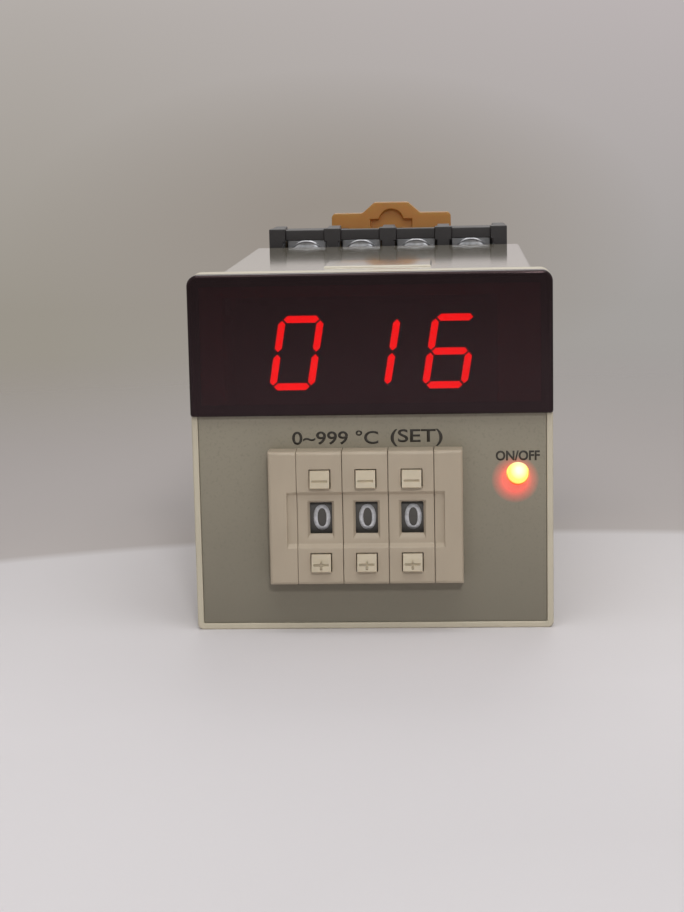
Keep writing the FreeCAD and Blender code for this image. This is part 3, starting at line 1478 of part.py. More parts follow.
def din_clip():
    part = body("din_clip")
    tongue_low = ("-tongue_half", "tongue_front", "tongue_low")
    block(part, "tongue", tongue_low, ("tongue_half", "tongue_rear", "clip_head_low + weld"))
    outline = [
        ("-clip_head_half", "clip_head_low"),
        ("clip_head_half", "clip_head_low"),
        ("clip_head_half", "clip_head_top"),
        ("hump_base_half", "clip_head_top"),
        ("hump_top_half", "hump_top"),
        ("-hump_top_half", "hump_top"),
        ("-hump_base_half", "clip_head_top"),
        ("-clip_head_half", "clip_head_top"),
    ]
    shape(part, "Pad", "head", "y", [outline], "tongue_front", "clip_head_rear")
    block_high = ("tongue_half", "grip_front + grip_thickness", "clip_block_top")
    block(part, "hook_block", ("-tongue_half", "tongue_front", "clip_block_low"), block_high)
    hook_high = ("tongue_half", "grip_front + grip_thickness", "clip_block_low + weld")
    block(part, "hook", ("-tongue_half", "grip_front", "clip_hook_low"), hook_high)
    window_low = ("-clip_window_half", "tongue_front", "clip_window_low")
    window_high = ("clip_window_half", "tongue_rear", "clip_window_top")
    block(part, "spring_window", window_low, window_high, "Pocket")
    arch_end = "tongue_front + arch_depth"
    round_shape(part, "Pocket", "arch", "y", [("0", "arch_z")], "arch_radius", "tongue_front", arch_end)
    foot_low = ("-arch_foot", "tongue_front", "clip_head_low")
    block(part, "arch_feet", foot_low, ("arch_foot", arch_end, "arch_foot_top"), "Pocket")
    wanted = either(
        runs("y", x=["clip_head_half", "-clip_head_half"], z=["clip_head_top"]),
        runs("y", x=["hump_base_half", "-hump_base_half"], z=["clip_head_top"]),
        runs("y", x=["hump_top_half", "-hump_top_half"], z=["hump_top"]),
    )
    soften(part, "Fillet", "shoulders", "clip_corner", wanted)
    start = "clip_window_low + clip_spring_play"
    end = "peg_low - clip_spring_play"
    middle = ("0", "(channel_floor + rail_floor) / 2")
    sizes = ("clip_spring_radius", "clip_spring_wire", "clip_spring_pitch")
    keep("clip_spring", coil("return_spring", "z", middle, *sizes, start, end))


def check_document():
    """Stop if any object failed, any cut removed nothing, or any sub-part isn't a sound solid."""
    for item in doc.Objects:
        bad = {"Invalid", "Error"} & set(item.State)
        if bad:
            raise RuntimeError(f"{item.Label} is in state {item.State}")
        if item.TypeId == "PartDesign::Pocket" and item.BaseFeature:
            if item.Shape.Volume > item.BaseFeature.Shape.Volume - 1e-6:
                raise RuntimeError(f"{item.Label} of {item.getParentGeoFeatureGroup().Label} cuts nothing")
    for name, item in nodes.items():
        if item.Shape.isNull() or not item.Shape.isValid() or not item.Shape.Solids:
            raise RuntimeError(f"{name} has no sound solid")


def main():
    bezel()
    display_window()
    face_plate()
    indicator_led()
    display()
    display_board()
    switch_ends()
    for number in MODULES:
        switch_module(number)
        digit_wheel(number)
        wheel_contacts(number)
        push_key(number, "minus")
        push_key(number, "plus")
        code_board(number)
    key_springs()
    switch_rods()
    case()
    plug()
    pin_leads()
    base_screws()
    long_boards()
    board_connectors()
    transformer()
    logic_parts()
    socket_body()
    socket_base()
    cover_screws()
    socket_contacts()
    terminals()
    din_clip()
    doc.recompute()
    check_document()
    for name, item in nodes.items():
        item.Shape.exportStep(f"parts/{name}.step")
        print(f"{name}: {len(item.Shape.Solids)} solids, {item.Shape.Volume:.1f} mm3")


main()
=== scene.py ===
"""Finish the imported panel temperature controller: its plastics, printing, figures, lamp and studio."""

from math import cos, pi, radians, sin

import bmesh
import bpy
from bpy.props import FloatProperty, FloatVectorProperty, PointerProperty
from bpy.types import Operator, Panel, PropertyGroup, Scene
from mathutils import Matrix, Vector


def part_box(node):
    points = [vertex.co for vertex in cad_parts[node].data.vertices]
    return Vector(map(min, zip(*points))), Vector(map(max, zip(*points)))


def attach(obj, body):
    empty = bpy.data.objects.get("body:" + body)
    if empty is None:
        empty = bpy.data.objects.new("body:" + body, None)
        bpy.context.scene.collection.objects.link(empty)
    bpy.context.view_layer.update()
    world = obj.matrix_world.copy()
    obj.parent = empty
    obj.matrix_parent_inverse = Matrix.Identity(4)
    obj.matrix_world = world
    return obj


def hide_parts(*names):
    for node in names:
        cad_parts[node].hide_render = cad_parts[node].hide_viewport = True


bl_info = {
    "name": "Panel temperature controller",
    "version": (1, 0, 0),
    "blender": (4, 5, 0),
    "location": "3D View > Sidebar > Controller",
    "description": "Finishes the packed model of a panel temperature controller",
    "category": "Object",
}

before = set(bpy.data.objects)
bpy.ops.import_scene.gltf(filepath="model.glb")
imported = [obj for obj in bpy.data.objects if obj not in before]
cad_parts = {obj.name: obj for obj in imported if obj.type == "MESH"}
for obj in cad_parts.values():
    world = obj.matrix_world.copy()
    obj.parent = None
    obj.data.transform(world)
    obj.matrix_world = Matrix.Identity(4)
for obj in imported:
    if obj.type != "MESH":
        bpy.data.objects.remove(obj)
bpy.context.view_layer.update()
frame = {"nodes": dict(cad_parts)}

MM = 0.001
# vertices nearer than this become one
JOIN = 0.001 * MM
# faces that meet at less than this are one face
FLAT = radians(0.3)
# edges that turn by more than this are rounded, unless a face beside them ends in a tip thinner than the next
SHARP = radians(40)
THIN = radians(25)
# the thumbwheel switch's modules, from left to right
MODULES = (1, 2, 3)
# each light's place, the width of its square and the point that it faces, in metres
LIGHTS = {
    "key": ((0.06, -0.42, 0.22), 0.04, (0.0, 0.0, 0.0)),
    "top": ((0.02, -0.1, 0.22), 0.2, (0.02, -0.08, 0.0)),
    "rear": ((0.02, 0.45, 0.4), 0.3, (0.0, 0.03, 0.0)),
}


def linear(code):
    """Turn an sRGB hex colour into linear red, green, blue and alpha."""
    channels = [(code >> shift & 255) / 255 for shift in (16, 8, 0)]
    values = [part / 12.92 if part <= 0.04045 else ((part + 0.055) / 1.055) ** 2.4 for part in channels]
    return (*values, 1.0)


def length(name, description, millimetres):
    """Describe a size; its default is given in millimetres."""
    size = millimetres * MM
    return FloatProperty(name=name, description=description, default=size, unit="LENGTH", precision=5)


def colour(name, description, code):
    """Describe a colour; its default is given as sRGB hex."""
    shade = linear(code)
    return FloatVectorProperty(name=name, description=description, default=shade, size=4, subtype="COLOR")


class ControllerSizes(PropertyGroup):
    """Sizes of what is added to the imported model."""

    moulding_edge: length("Moulding edge", "Rounding of the large mouldings' edges", 0.14)
    window_edge: length("Window edge", "Rounding of the window's edges", 0.3)
    switch_edge: length("Switch edge", "Rounding of the thumbwheel switch's edges", 0.1)
    key_edge: length("Key edge", "Rounding of the push keys' edges", 0.04)
    ink_thickness: length("Ink thickness", "How far the printing stands on the plate", 0.03)
    range_height: length("Range height", "Height of the figures over the switch", 1.86)
    range_level: length("Range level", "Height of its middle over the origin", 2.1)
    range_left: length("Range left", "Where it begins, from the origin", -10.6)
    range_width: length("Range width", "Width of the range", 11.47)
    word_left: length("Word left", "Where the word after it begins", 2.5)
    word_width: length("Word width", "Width of that word", 6.9)
    word_height: length("Word height", "Height of that word with its brackets", 2.3)
    word_level: length("Word level", "Height of its middle over the origin", 1.98)
    label_height: length("Lamp label height", "Height of the letters over the lamp", 1.34)
    label_level: length("Lamp label level", "Height of their middle over the origin", -0.59)
    label_width: length("Lamp label width", "Width of the lamp's label", 5.82)
    lens_radius: length("Lens radius", "Radius of the lamp's dome", 1.37)
    lens_flange: length("Lens flange", "Thickness of the lamp's flange", 1.0)
    window_border: length("Window border", "Width of the window's black printed border", 1.6)
    figure_height: length("Wheel figure height", "Height of the figures round the wheels", 3.5)
    figure_width: length("Wheel figure width", "Width of the figure 0 on the wheels", 2.24)
    figure_inset: length("Wheel figure inset", "From the drum's right face to the figures' middle", 1.65)
    mark_inset: length("Mark inset", "From a key's right face to the middle of its engraved mark", 1.42)
    mark_reach: length("Mark reach", "A little over half the width of that mark", 1.05)
    mark_depth: length("Mark depth", "How far behind the key's lip that mark ends", 1.6)
    thread_pitch: length("Thread pitch", "Pitch of the terminal screws' thread", 0.6)


class ControllerColours(PropertyGroup):
    """Colours of what is seen from outside."""

    frame: colour("Frame", "Cream moulding of the frame and the housing", 0xC6BDA8)
    plate: colour("Plate", "Grey of the printed front plate", 0x918A79)
    ink: colour("Ink", "Ink of the plate's printing", 0x2A2620)
    switch: colour("Switch", "Beige moulding of the thumbwheel switch", 0xB1A38F)
    key: colour("Key", "Beige-ivory moulding of the push keys", 0xBFAE94)
    wheel: colour("Wheel", "Dark grey of the digit wheels", 0x504D49)
    figure: colour("Figure", "Pale ink of the wheels' figures", 0xD8D8DC)
    segment: colour("Segment", "Light of the lit bars", 0xFF1220)
    lamp_core: colour("Lamp core", "Light of the lamp's hottest spot", 0xFFFCE6)
    lamp_dome: colour("Lamp dome", "Light of most of the lamp", 0xFBF27A)
    lamp_rim: colour("Lamp rim", "Light at the edge of the lamp", 0xF0A848)
    # painted glow: the plate's own emission round the lamp stands for the lamp's light on it
    lamp_glow: colour("Lamp glow", "Lamp light that shows through the plate's film", 0xF00808)
    socket: colour("Socket", "Black moulding of the rail socket", 0x1A1719)
    clip: colour("Clip", "Amber moulding of the rail clip", 0xB07B3A)
    floor: colour("Floor", "Pale table under the object", 0xE0DCDE)
    surround: colour("Surround", "What lies round the pale table", 0xC0B9B7)
    backdrop: colour("Backdrop", "Backdrop low down on the left", 0x9A948A)
    backdrop_high: colour("Backdrop above", "Backdrop at the top on the left", 0xB1ABA6)
    backdrop_cloud: colour("Backdrop cloud", "Backdrop right behind the object", 0x999189)
    backdrop_right: colour("Backdrop right", "Backdrop low down on the right", 0xA4A09D)
    backdrop_right_high: colour("Backdrop right above", "Backdrop at the top on the right", 0xBAB3B3)
    backdrop_top: colour("Top of the backdrop", "Tone above the view", 0xD2CDCA)


class StudioSettings(PropertyGroup):
    """Camera, lights, table and floor."""

    focal_length: FloatProperty(name="Focal length", description="Lens, in millimetres", default=79.6)
    camera_across: length("Camera across", "Camera's place to the right", 10.82)
    camera_back: length("Camera back", "Camera's place behind the panel's front", -269.21)
    camera_up: length("Camera up", "Camera's place over the origin", 43.82)
    yaw: FloatProperty(name="Yaw", description="Turn to the left", default=radians(3.209), unit="ROTATION")
    pitch: FloatProperty(name="Pitch", description="Tilt upwards", default=radians(-9.479), unit="ROTATION")
    roll: FloatProperty(name="Roll", description="Turn clockwise", default=radians(1.181), unit="ROTATION")
    key_power: FloatProperty(name="Key power", description="Small light in front of the panel", default=0.52)
    top_power: FloatProperty(name="Top power", description="Soft light over the front", default=0.29)
    rear_power: FloatProperty(name="Rear power", description="Soft light from behind", default=0.6)
    ambient: FloatProperty(name="Ambient", description="Light from all round", default=0.34, min=0.0)
    table_across: length("Table across", "Middle of the round table, to the right", 23.6)
    table_back: length("Table back", "Middle of the round table, behind the front", -116.9)
    table_radius: length("Table radius", "Radius of the round table", 180.6)
    heel: length("Heel", "Where the socket's underside meets the floor", 87.0)


# node helpers


def add(tree, kind, inputs=None, **settings):
    """Add a node and give its inputs their values or links; a node stands for its first output."""
    item = tree.nodes.new(kind)
    for name, setting in settings.items():
        setattr(item, name, setting)
    for key, source in (inputs or {}).items():
        if isinstance(source, bpy.types.Node):
            source = source.outputs[0]
        if isinstance(source, bpy.types.NodeSocket):
            tree.links.new(source, item.inputs[key])
        else:
            item.inputs[key].default_value = source
    return item


def darker(tone, share):
    """Return a tone with a share of its light taken off."""
    return (*[part * (1 - share) for part in tone[:3]], 1.0)


def graded(tree, value, stops):
    """Blend from tone to tone along a value; a stop is a place and its tone."""
    start, tone = stops[0]
    for end, following in stops[1:]:
        share = add(tree, "ShaderNodeMapRange", {"Value": value, "From Min": start, "From Max": end})
        tone = add(tree, "ShaderNodeMix", {0: share, 6: tone, 7: following}, data_type="RGBA").outputs[2]
        start = end
    return tone


def surface(name, base, shade, patch, grain, relief, rough, stretch=(1, 1, 1), **uniform):
    """Make a material: two close tones in soft patches, a grain with its relief, and uneven gloss.

    patch and grain are sizes in millimetres, relief is in micrometres, and stretch draws the pattern out.
    """
    material = bpy.data.materials.new(name)
    material.use_nodes = True
    tree = material.node_tree
    tree.nodes.clear()
    here = add(tree, "ShaderNodeTexCoord").outputs["Object"]
    drawn = add(tree, "ShaderNodeMapping", {"Vector": here, "Scale": stretch})
    patches = add(tree, "ShaderNodeTexNoise", {"Vector": drawn, "Scale": 1 / (patch * MM), "Detail": 4.0})
    fine = add(tree, "ShaderNodeTexNoise", {"Vector": drawn, "Scale": 1 / (grain * MM), "Detail": 2.0})
    mixed = graded(tree, patches, [(0.3, base), (0.7, shade)])
    gloss = add(tree, "ShaderNodeMapRange", {"Value": fine, "To Min": rough - 0.06, "To Max": rough + 0.06})
    bump = add(tree, "ShaderNodeBump", {"Height": fine, "Strength": 1.0, "Distance": relief * MM * MM})
    sockets = {"Base Color": mixed, "Roughness": gloss, "Normal": bump}
    for key, setting in uniform.items():
        sockets[key.replace("_", " ").title().replace("Ior", "IOR")] = setting
    shader = add(tree, "ShaderNodeBsdfPrincipled", sockets)
    add(tree, "ShaderNodeOutputMaterial", {"Surface": shader})
    return material


def opened(material):
    """Return a material's tree, its shader, the object coordinates and what feeds its base colour."""
    tree = material.node_tree
    kinds = {item.type: item for item in tree.nodes}
    shader = kinds["BSDF_PRINCIPLED"]
    ground = shader.inputs["Base Color"].links[0].from_socket
    return tree, shader, kinds["TEX_COORD"].outputs["Object"], ground


def distance(tree, here, spot, stretch):
    """Return how far a place lies from a spot, with each direction counted by its stretch."""
    back = [-part * share for part, share in zip(spot, stretch)]
    centred = add(tree, "ShaderNodeMapping", {"Vector": here, "Location": back, "Scale": stretch})
    return add(tree, "ShaderNodeVectorMath", {0: centred}, operation="LENGTH").outputs["Value"]


def tinted(name, colour_name, share, *looks, **uniform):
    """Make a material in one of the controller's colours and a tone that is darker by a share."""
    base = getattr(bpy.context.scene.controller_colours, colour_name)
    return surface(name, base, darker(base, share), *looks, **uniform)


# materials seen from the front


def frame_plastic():
    """ABS, moulded in a finely eroded tool: matt cream with a soft sheen and very slight clouds."""
    return tinted("cream_abs", "frame", 0.08, 11.0, 0.22, 5.0, 0.42)


def housing_plastic():
    """ABS, moulded in a polished tool: the same cream, glossy enough to mirror what stands on it."""
    gloss = {"coat_weight": 1.0, "coat_roughness": 0.09, "coat_ior": 1.5}
    return tinted("polished_cream_abs", "frame", 0.06, 16.0, 0.8, 0.6, 0.12, **gloss)


def window_acrylic():
    """Cast acrylic, dyed deep red: looks black until something behind it glows; its border is printed."""
    dye, denser, ink = linear(0x500609), linear(0x4A0508), linear(0x060202)
    # the sheet's own dye tints what it mirrors, and a faint painted glow stands for the display's light
    # inside it
    tint, glow = linear(0xFFD6DA), linear(0x120D0F)
    optics = {"transmission_weight": 1.0, "ior": 1.38, "specular_tint": tint, "emission_color": glow}
    material = surface("dyed_acrylic", dye, denser, 30.0, 4.0, 0.4, 0.12, **optics, emission_strength=1.0)
    tree, shader, here, ground = opened(material)
    low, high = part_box("display_window")
    # how far a place is past the sheet's nearest edge; inside the sheet this is less than 0
    centred = add(tree, "ShaderNodeVectorMath", {0: here, 1: (low + high) / 2}, operation="SUBTRACT")
    folded = add(tree, "ShaderNodeVectorMath", {0: centred}, operation="ABSOLUTE")
    past = add(tree, "ShaderNodeVectorMath", {0: folded, 1: (high - low) / 2}, operation="SUBTRACT")
    sides = add(tree, "ShaderNodeSeparateXYZ", {0: past}).outputs
    nearest = add(tree, "ShaderNodeMath", {0: sides["X"], 1: sides["Z"]}, operation="MAXIMUM")
    border = bpy.context.scene.controller_sizes.window_border
    blur = 0.05 * MM
    tone = graded(tree, nearest, [(-border, ground), (blur - border, ink)])
    tree.links.new(tone, shader.inputs["Base Color"])
    return material


def plate_print():
    """Polycarbonate plate under a screen-printed grey film: matt, flecked, with painted shade towards the
    foot and a painted glow of the lamp's light round the lamp.
    """
    colours = bpy.context.scene.controller_colours
    base, light = colours.plate, colours.lamp_glow
    material = tinted("printed_polycarbonate", "plate", 0.07, 7.0, 0.18, 6.0, 0.5)
    tree, shader, here, ground = opened(material)
    fleck = add(tree, "ShaderNodeTexNoise", {"Vector": here, "Scale": 1 / (0.35 * MM), "Detail": 1.0})
    share = {"Value": fleck, "From Min": 0.55, "From Max": 0.8, "To Max": 0.35}
    speck = add(tree, "ShaderNodeMapRange", share)
    mixed = add(tree, "ShaderNodeMix", {0: speck, 6: ground, 7: darker(base, 0.45)}, data_type="RGBA")
    # painted shade: the plate's grey is darkened towards the foot, where less light falls
    height = add(tree, "ShaderNodeSeparateXYZ", {0: here}).outputs["Z"]
    whole = graded(tree, height, [(2 * MM, mixed.outputs[2]), (-24 * MM, darker(base, 0.33))])
    tree.links.new(whole, shader.inputs["Base Color"])
    # painted glow: the lamp's light on the plate is painted as the plate's own emission, round a spot a
    # little below the lamp's middle
    low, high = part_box("indicator_led")
    middle = (low + high) / 2
    away = distance(tree, here, (middle.x - 0.35 * MM, 0, middle.z - 0.8 * MM), (1, 0, 1))
    stops = [(1.7 * MM, light), (2.3 * MM, darker(light, 0.55)), (3.2 * MM, linear(0x000000))]
    tree.links.new(graded(tree, away, stops), shader.inputs["Emission Color"])
    shader.inputs["Emission Strength"].default_value = 0.85
    return material


def printing_ink():
    """Screen-printing ink: a thin dark layer, slightly broken where the mesh left it."""
    return tinted("screen_ink", "ink", -0.5, 0.5, 0.12, 3.0, 0.6)


def switch_plastic():
    """Glass-filled PBT, moulded: warm beige, dull, with a slightly coarse grain and faint flow marks."""
    return tinted("beige_pbt", "switch", 0.09, 6.0, 0.3, 7.0, 0.48, (1, 1, 0.5))


def key_plastic():
    """Acetal, moulded: pale ivory, a little waxy, smoother than the switch round it."""
    return tinted("ivory_acetal", "key", 0.1, 2.0, 0.3, 3.0, 0.4, subsurface_weight=0.08)


def mark_ink():
    """Darker brownish tone given to the keys' engraved marks: thin and uneven."""
    base = darker(bpy.context.scene.controller_colours.key, 0.45)
    return surface("wiped_paint", base, darker(base, 0.35), 0.4, 0.15, 4.0, 0.6)


def wheel_plastic():
    """Acetal, moulded smooth: dark grey, with a faint satin."""
    return tinted("grey_acetal", "wheel", 0.2, 1.6, 0.2, 4.0, 0.5)


def figure_ink():
    """Pad-printed ink: pale grey, thin enough for the drum's tone to show here and there."""
    return tinted("pad_ink", "figure", 0.3, 0.7, 0.15, 3.0, 0.55)


def lit_epoxy():
    """Red-dyed epoxy bar over lit LED chips: even saturated red, a touch hotter here and there."""
    light = bpy.context.scene.controller_colours.segment
    dye, denser = linear(0x8C1014), linear(0x780C10)
    material = surface("lit_epoxy", dye, denser, 1.5, 0.3, 2.0, 0.4, emission_color=light)
    tree, shader, here = opened(material)[:3]
    drift = add(tree, "ShaderNodeTexNoise", {"Vector": here, "Scale": 1 / (2.0 * MM), "Detail": 1.0})
    glow = add(tree, "ShaderNodeMapRange", {"Value": drift, "To Min": 11.0, "To Max": 13.0})
    tree.links.new(glow.outputs[0], shader.inputs["Emission Strength"])
    return material


def dark_epoxy():
    """The same epoxy unlit: a dim wine red."""
    return surface("dark_epoxy", linear(0x301012), linear(0x2A0C0E), 1.5, 0.3, 2.0, 0.5)


def display_shell():
    """Painted ABS reflector block: flat black face that swallows stray light."""
    return surface("matt_black_paint", linear(0x161516), linear(0x1B1A1B), 3.0, 0.25, 5.0, 0.7)


def lamp_epoxy():
    """Diffused epoxy lamp, lit: red-orange light so strong that it looks yellow to white."""
    colours = bpy.context.scene.controller_colours
    radius = bpy.context.scene.controller_sizes.lens_radius
    low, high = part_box("indicator_led")
    middle = (low + high) / 2
    dye, denser = linear(0xE06030), linear(0xD85828)
    material = surface("lit_lamp_epoxy", dye, denser, 1.0, 0.2, 1.0, 0.25, emission_strength=1.0)
    tree, shader, here = opened(material)[:3]
    # the hottest spot lies a little over the dome's middle
    spot = (middle.x + 0.1 * radius, 0, middle.z + 0.45 * radius)
    away = distance(tree, here, spot, (1, 0, 1))
    core, dome, rim = colours.lamp_core, colours.lamp_dome, colours.lamp_rim
    stops = [(0.25, core), (0.9, dome), (1.25, dome), (1.5, rim)]
    tones = graded(tree, away, [(share * radius, tone) for share, tone in stops])
    tree.links.new(tones, shader.inputs["Emission Color"])
    return material


# materials of the housing's rear, the socket and what is inside


def socket_plastic():
    """Glass-filled polycarbonate, moulded: near black, satin, greyish where light grazes its grain."""
    return tinted("black_polycarbonate", "socket", -0.25, 5.0, 0.25, 8.0, 0.42)


def plug_phenolic():
    """Phenolic, pressed: hard glossy black with a trace of brown flow."""
    return surface("black_phenolic", linear(0x1C1917), linear(0x26201B), 4.0, 0.2, 3.0, 0.28)


def clip_plastic():
    """Acetal, moulded in amber: waxy, slightly see-through, so its edges glow."""
    return tinted("amber_acetal", "clip", 0.12, 4.0, 0.4, 4.0, 0.38, subsurface_weight=0.2)


def zinc_steel():
    """Steel, zinc plated: bright and bluish, with fine turning marks."""
    bright, dull = linear(0xE0E2E6), linear(0xC8CCD2)
    return surface("zinc_plated_steel", bright, dull, 1.5, 0.12, 4.0, 0.46, (1, 0.4, 1), metallic=1.0)


def nickel_pin():
    """Brass, nickel plated: warm silver, drawn along its length."""
    bright, dull = linear(0xCDC8BC), linear(0xB0A99A)
    return surface("nickel_plated_brass", bright, dull, 2.0, 0.1, 3.0, 0.22, (1, 0.15, 1), metallic=1.0)


def contact_brass():
    """Brass sheet, rolled and punched: yellow, with rolling lines."""
    bright, dull = linear(0xCBA860), linear(0xB08C46)
    return surface("rolled_brass", bright, dull, 3.0, 0.1, 4.0, 0.3, (0.2, 1, 1), metallic=1.0)


def spring_steel():
    """Music wire, drawn: dark silver."""
    return surface("music_wire", linear(0x9A9CA0), linear(0x808388), 1.0, 0.1, 3.0, 0.3, metallic=1.0)


def tinned_lead():
    """Tinned steel lead: dull silver."""
    return surface("tinned_steel", linear(0xB4B6B8), linear(0x989A9C), 1.0, 0.1, 4.0, 0.4, metallic=1.0)


def circuit_board():
    """Glass epoxy board: green solder mask with paler copper tracks under it."""
    mask, track = linear(0x1E5A38), linear(0x2F7A4A)
    material = surface("solder_mask", mask, darker(mask, 0.15), 8.0, 0.5, 3.0, 0.32)
    tree, shader, here, ground = opened(material)
    lines = {"Vector": here, "Scale": 1 / (8.0 * MM), "Distortion": 3.0, "Detail": 0.0}
    wave = add(tree, "ShaderNodeTexWave", lines, bands_direction="Z")
    tracks = graded(tree, wave, [(0.72, ground), (0.78, track)])
    tree.links.new(tracks, shader.inputs["Base Color"])
    return material


def core_laminations():
    """Stacked silicon steel sheets of 0.5 mm: dark grey with fine joints between them."""
    steel = linear(0x55585C)
    material = surface("silicon_steel", steel, darker(steel, 0.2), 4.0, 0.2, 4.0, 0.45, metallic=0.8)
    tree, shader, here = opened(material)[:3]
    # a wave's period is a twentieth of 2 pi at a scale of 1
    sheet = 0.5 * MM
    scale = 2 * pi / 20 / sheet
    wave = add(tree, "ShaderNodeTexWave", {"Vector": here, "Scale": scale}, bands_direction="X")
    grain = shader.inputs["Normal"].links[0].from_socket
    bump = add(tree, "ShaderNodeBump", {"Height": wave, "Distance": 0.03 * MM, "Normal": grain})
    tree.links.new(bump.outputs[0], shader.inputs["Normal"])
    return material


def winding_tape():
    """Polyester tape over the coil: glossy yellow, in laps."""
    return surface("polyester_tape", linear(0xD8A928), linear(0xC4941C), 4.0, 1.0, 8.0, 0.25, (1, 1, 4))


def bobbin_nylon():
    """Nylon, moulded: milky white."""
    return surface("natural_nylon", linear(0xD8D2C2), linear(0xCAC3B0), 5.0, 0.4, 3.0, 0.4)


def relay_cover():
    """Polyester relay case, moulded: mid blue, satin."""
    return surface("blue_pbt", linear(0x2B4C86), linear(0x26447A), 5.0, 0.3, 4.0, 0.38)


def can_sleeve():
    """Shrunk PVC sleeve over an aluminium can: glossy dark blue."""
    return surface("pvc_sleeve", linear(0x1B2646), linear(0x222E52), 3.0, 1.5, 6.0, 0.25)


def chip_epoxy():
    """Transfer-moulded epoxy: charcoal, fine matt grain."""
    return surface("moulded_epoxy", linear(0x29282A), linear(0x323033), 2.0, 0.12, 6.0, 0.55)


def wire_insulation():
    """Extruded PVC insulation: soft grey."""
    return surface("pvc_insulation", linear(0x8A8A88), linear(0x7C7C7A), 3.0, 0.5, 3.0, 0.45)


def header_plastic():
    """Nylon header block, moulded: black, dull."""
    return surface("black_nylon", linear(0x201F20), linear(0x282728), 2.0, 0.2, 5.0, 0.5)


# meshes


def clean_copy(node):
    """Return a copy of a node's mesh with its loose triangles joined into whole faces."""
    mesh = frame["nodes"][node].data.copy()
    shell = bmesh.new()
    shell.from_mesh(mesh)
    bmesh.ops.remove_doubles(shell, verts=shell.verts, dist=JOIN)
    bmesh.ops.dissolve_limit(shell, angle_limit=FLAT, verts=shell.verts, edges=shell.edges)
    shell.to_mesh(mesh)
    shell.free()
    return mesh


def choose_edges(mesh):
    """Mark a mesh's sharp edges for rounding, apart from those of a face that runs out in a thin tip."""
    shell = bmesh.new()
    shell.from_mesh(mesh)
    weight = shell.edges.layers.float.new("bevel_weight_edge")
    sharp = {edge for edge in shell.edges if edge.calc_face_angle(0) > SHARP}
    for edge in sharp:
        edge[weight] = 1.0
    for face in shell.faces:
        tips = [corner for corner in face.loops if {corner.edge, corner.link_loop_prev.edge} <= sharp]
        if any(corner.calc_angle() < THIN for corner in tips):
            for edge in face.edges:
                edge[weight] = 0.0
    shell.to_mesh(mesh)
    shell.free()


def round_edges(item, radius):
    """Round an object's sharp edges and even out its shading."""
    choose_edges(item.data)
    bevel = item.modifiers.new("Rounded edges", "BEVEL")
    bevel.width = radius
    bevel.segments = 2
    bevel.limit_method = "WEIGHT"
    bevel.use_clamp_overlap = False
    bevel.loop_slide = False
    item.modifiers.new("Even shading", "WEIGHTED_NORMAL").weight = 100


def show(name, data):
    """Put an object in the scene, at the origin."""
    item = bpy.data.objects.new(name, data)
    bpy.context.scene.collection.objects.link(item)
    return item


def place(name, mesh, material, edge=0.0):
    """Put a mesh in the scene with its material and, where an edge is given, its edges rounded."""
    mesh.name = name
    mesh.materials.clear()
    mesh.materials.append(material)
    mesh.shade_smooth()
    item = show(name, mesh)
    if edge:
        round_edges(item, edge)
    return item


def carry(item, body, slot, *nodes):
    """Let an object ride on a body and stand for nodes; the slot is not used."""
    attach(item, body)
    if nodes:
        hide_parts(*nodes)


def rounded(name, node, body, slot, material, edge):
    """Replace a node by a copy of it with rounded edges."""
    item = place(name, clean_copy(node), material, edge)
    carry(item, body, slot, node)
    return item


def dress(material, *nodes):
    """Give nodes that stay their material."""
    for node in nodes:
        frame["nodes"][node].material_slots[0].material = material


def plain_mesh(item):
    """Return what an object gives with its modifiers, as a plain mesh."""
    graph = bpy.context.evaluated_depsgraph_get()
    return bpy.data.meshes.new_from_object(item.evaluated_get(graph), depsgraph=graph)


def lathe(outline, centre, steps=48):
    """Turn an outline of (radius, depth) points, from pole to pole, about a line along +Y."""
    shell = bmesh.new()
    rings = []
    for radius, depth in outline:
        turns = [2 * pi * step / steps for step in range(steps)]
        spots = [(centre[0] + radius * cos(turn), depth, centre[1] + radius * sin(turn)) for turn in turns]
        rings.append([shell.verts.new(spot) for spot in spots])
    for ring, following in zip(rings, rings[1:]):
        for step in range(steps):
            after = (step + 1) % steps
            shell.faces.new((ring[step], ring[after], following[after], following[step]))
    bmesh.ops.remove_doubles(shell, verts=shell.verts, dist=JOIN)
    bmesh.ops.recalc_face_normals(shell, faces=shell.faces)
    mesh = bpy.data.meshes.new("turned")
    shell.to_mesh(mesh)
    shell.free()
    return mesh


def arc(centre, radius, start, end, steps):
    """Return the points of an arc between two angles in degrees, in a (radius, depth) outline."""
    turns = [radians(start + (end - start) * step / steps) for step in range(steps + 1)]
    return [(centre[0] + radius * cos(turn), centre[1] + radius * sin(turn)) for turn in turns]


def lettering(text, height, thickness, stretch=1.0, weight=0.0):
    """Return raised lettering that faces -Y, its middle at the origin, with a given height."""
    curve = bpy.data.curves.new(text, "FONT")
    curve.body = text
    curve.offset = weight
    curve.resolution_u = 6
    curve.extrude = 0.5
    item = show(text, curve)
    mesh = plain_mesh(item)
    bpy.data.objects.remove(item)
    bpy.data.curves.remove(curve)
    spots = [spot.co for spot in mesh.vertices]
    low, high = (Vector([pick(parts) for parts in zip(*spots)]) for pick in (min, max))
    scale = height / (high.y - low.y)
    mesh.transform(Matrix.Translation(-(low + high) / 2))
    mesh.transform(Matrix.Diagonal((scale * stretch, scale, thickness, 1.0)))
    mesh.transform(Matrix.Rotation(pi / 2, 4, "X"))
    return mesh


def width_of(mesh):
    """Return how wide a mesh is across."""
    places = [spot.co.x for spot in mesh.vertices]
    return max(places) - min(places)


def joined(name, meshes):
    """Return several meshes as one, welded."""
    shell = bmesh.new()
    for mesh in meshes:
        shell.from_mesh(mesh)
        bpy.data.meshes.remove(mesh)
    bmesh.ops.remove_doubles(shell, verts=shell.verts, dist=JOIN)
    mesh = bpy.data.meshes.new(name)
    shell.to_mesh(mesh)
    shell.free()
    return mesh


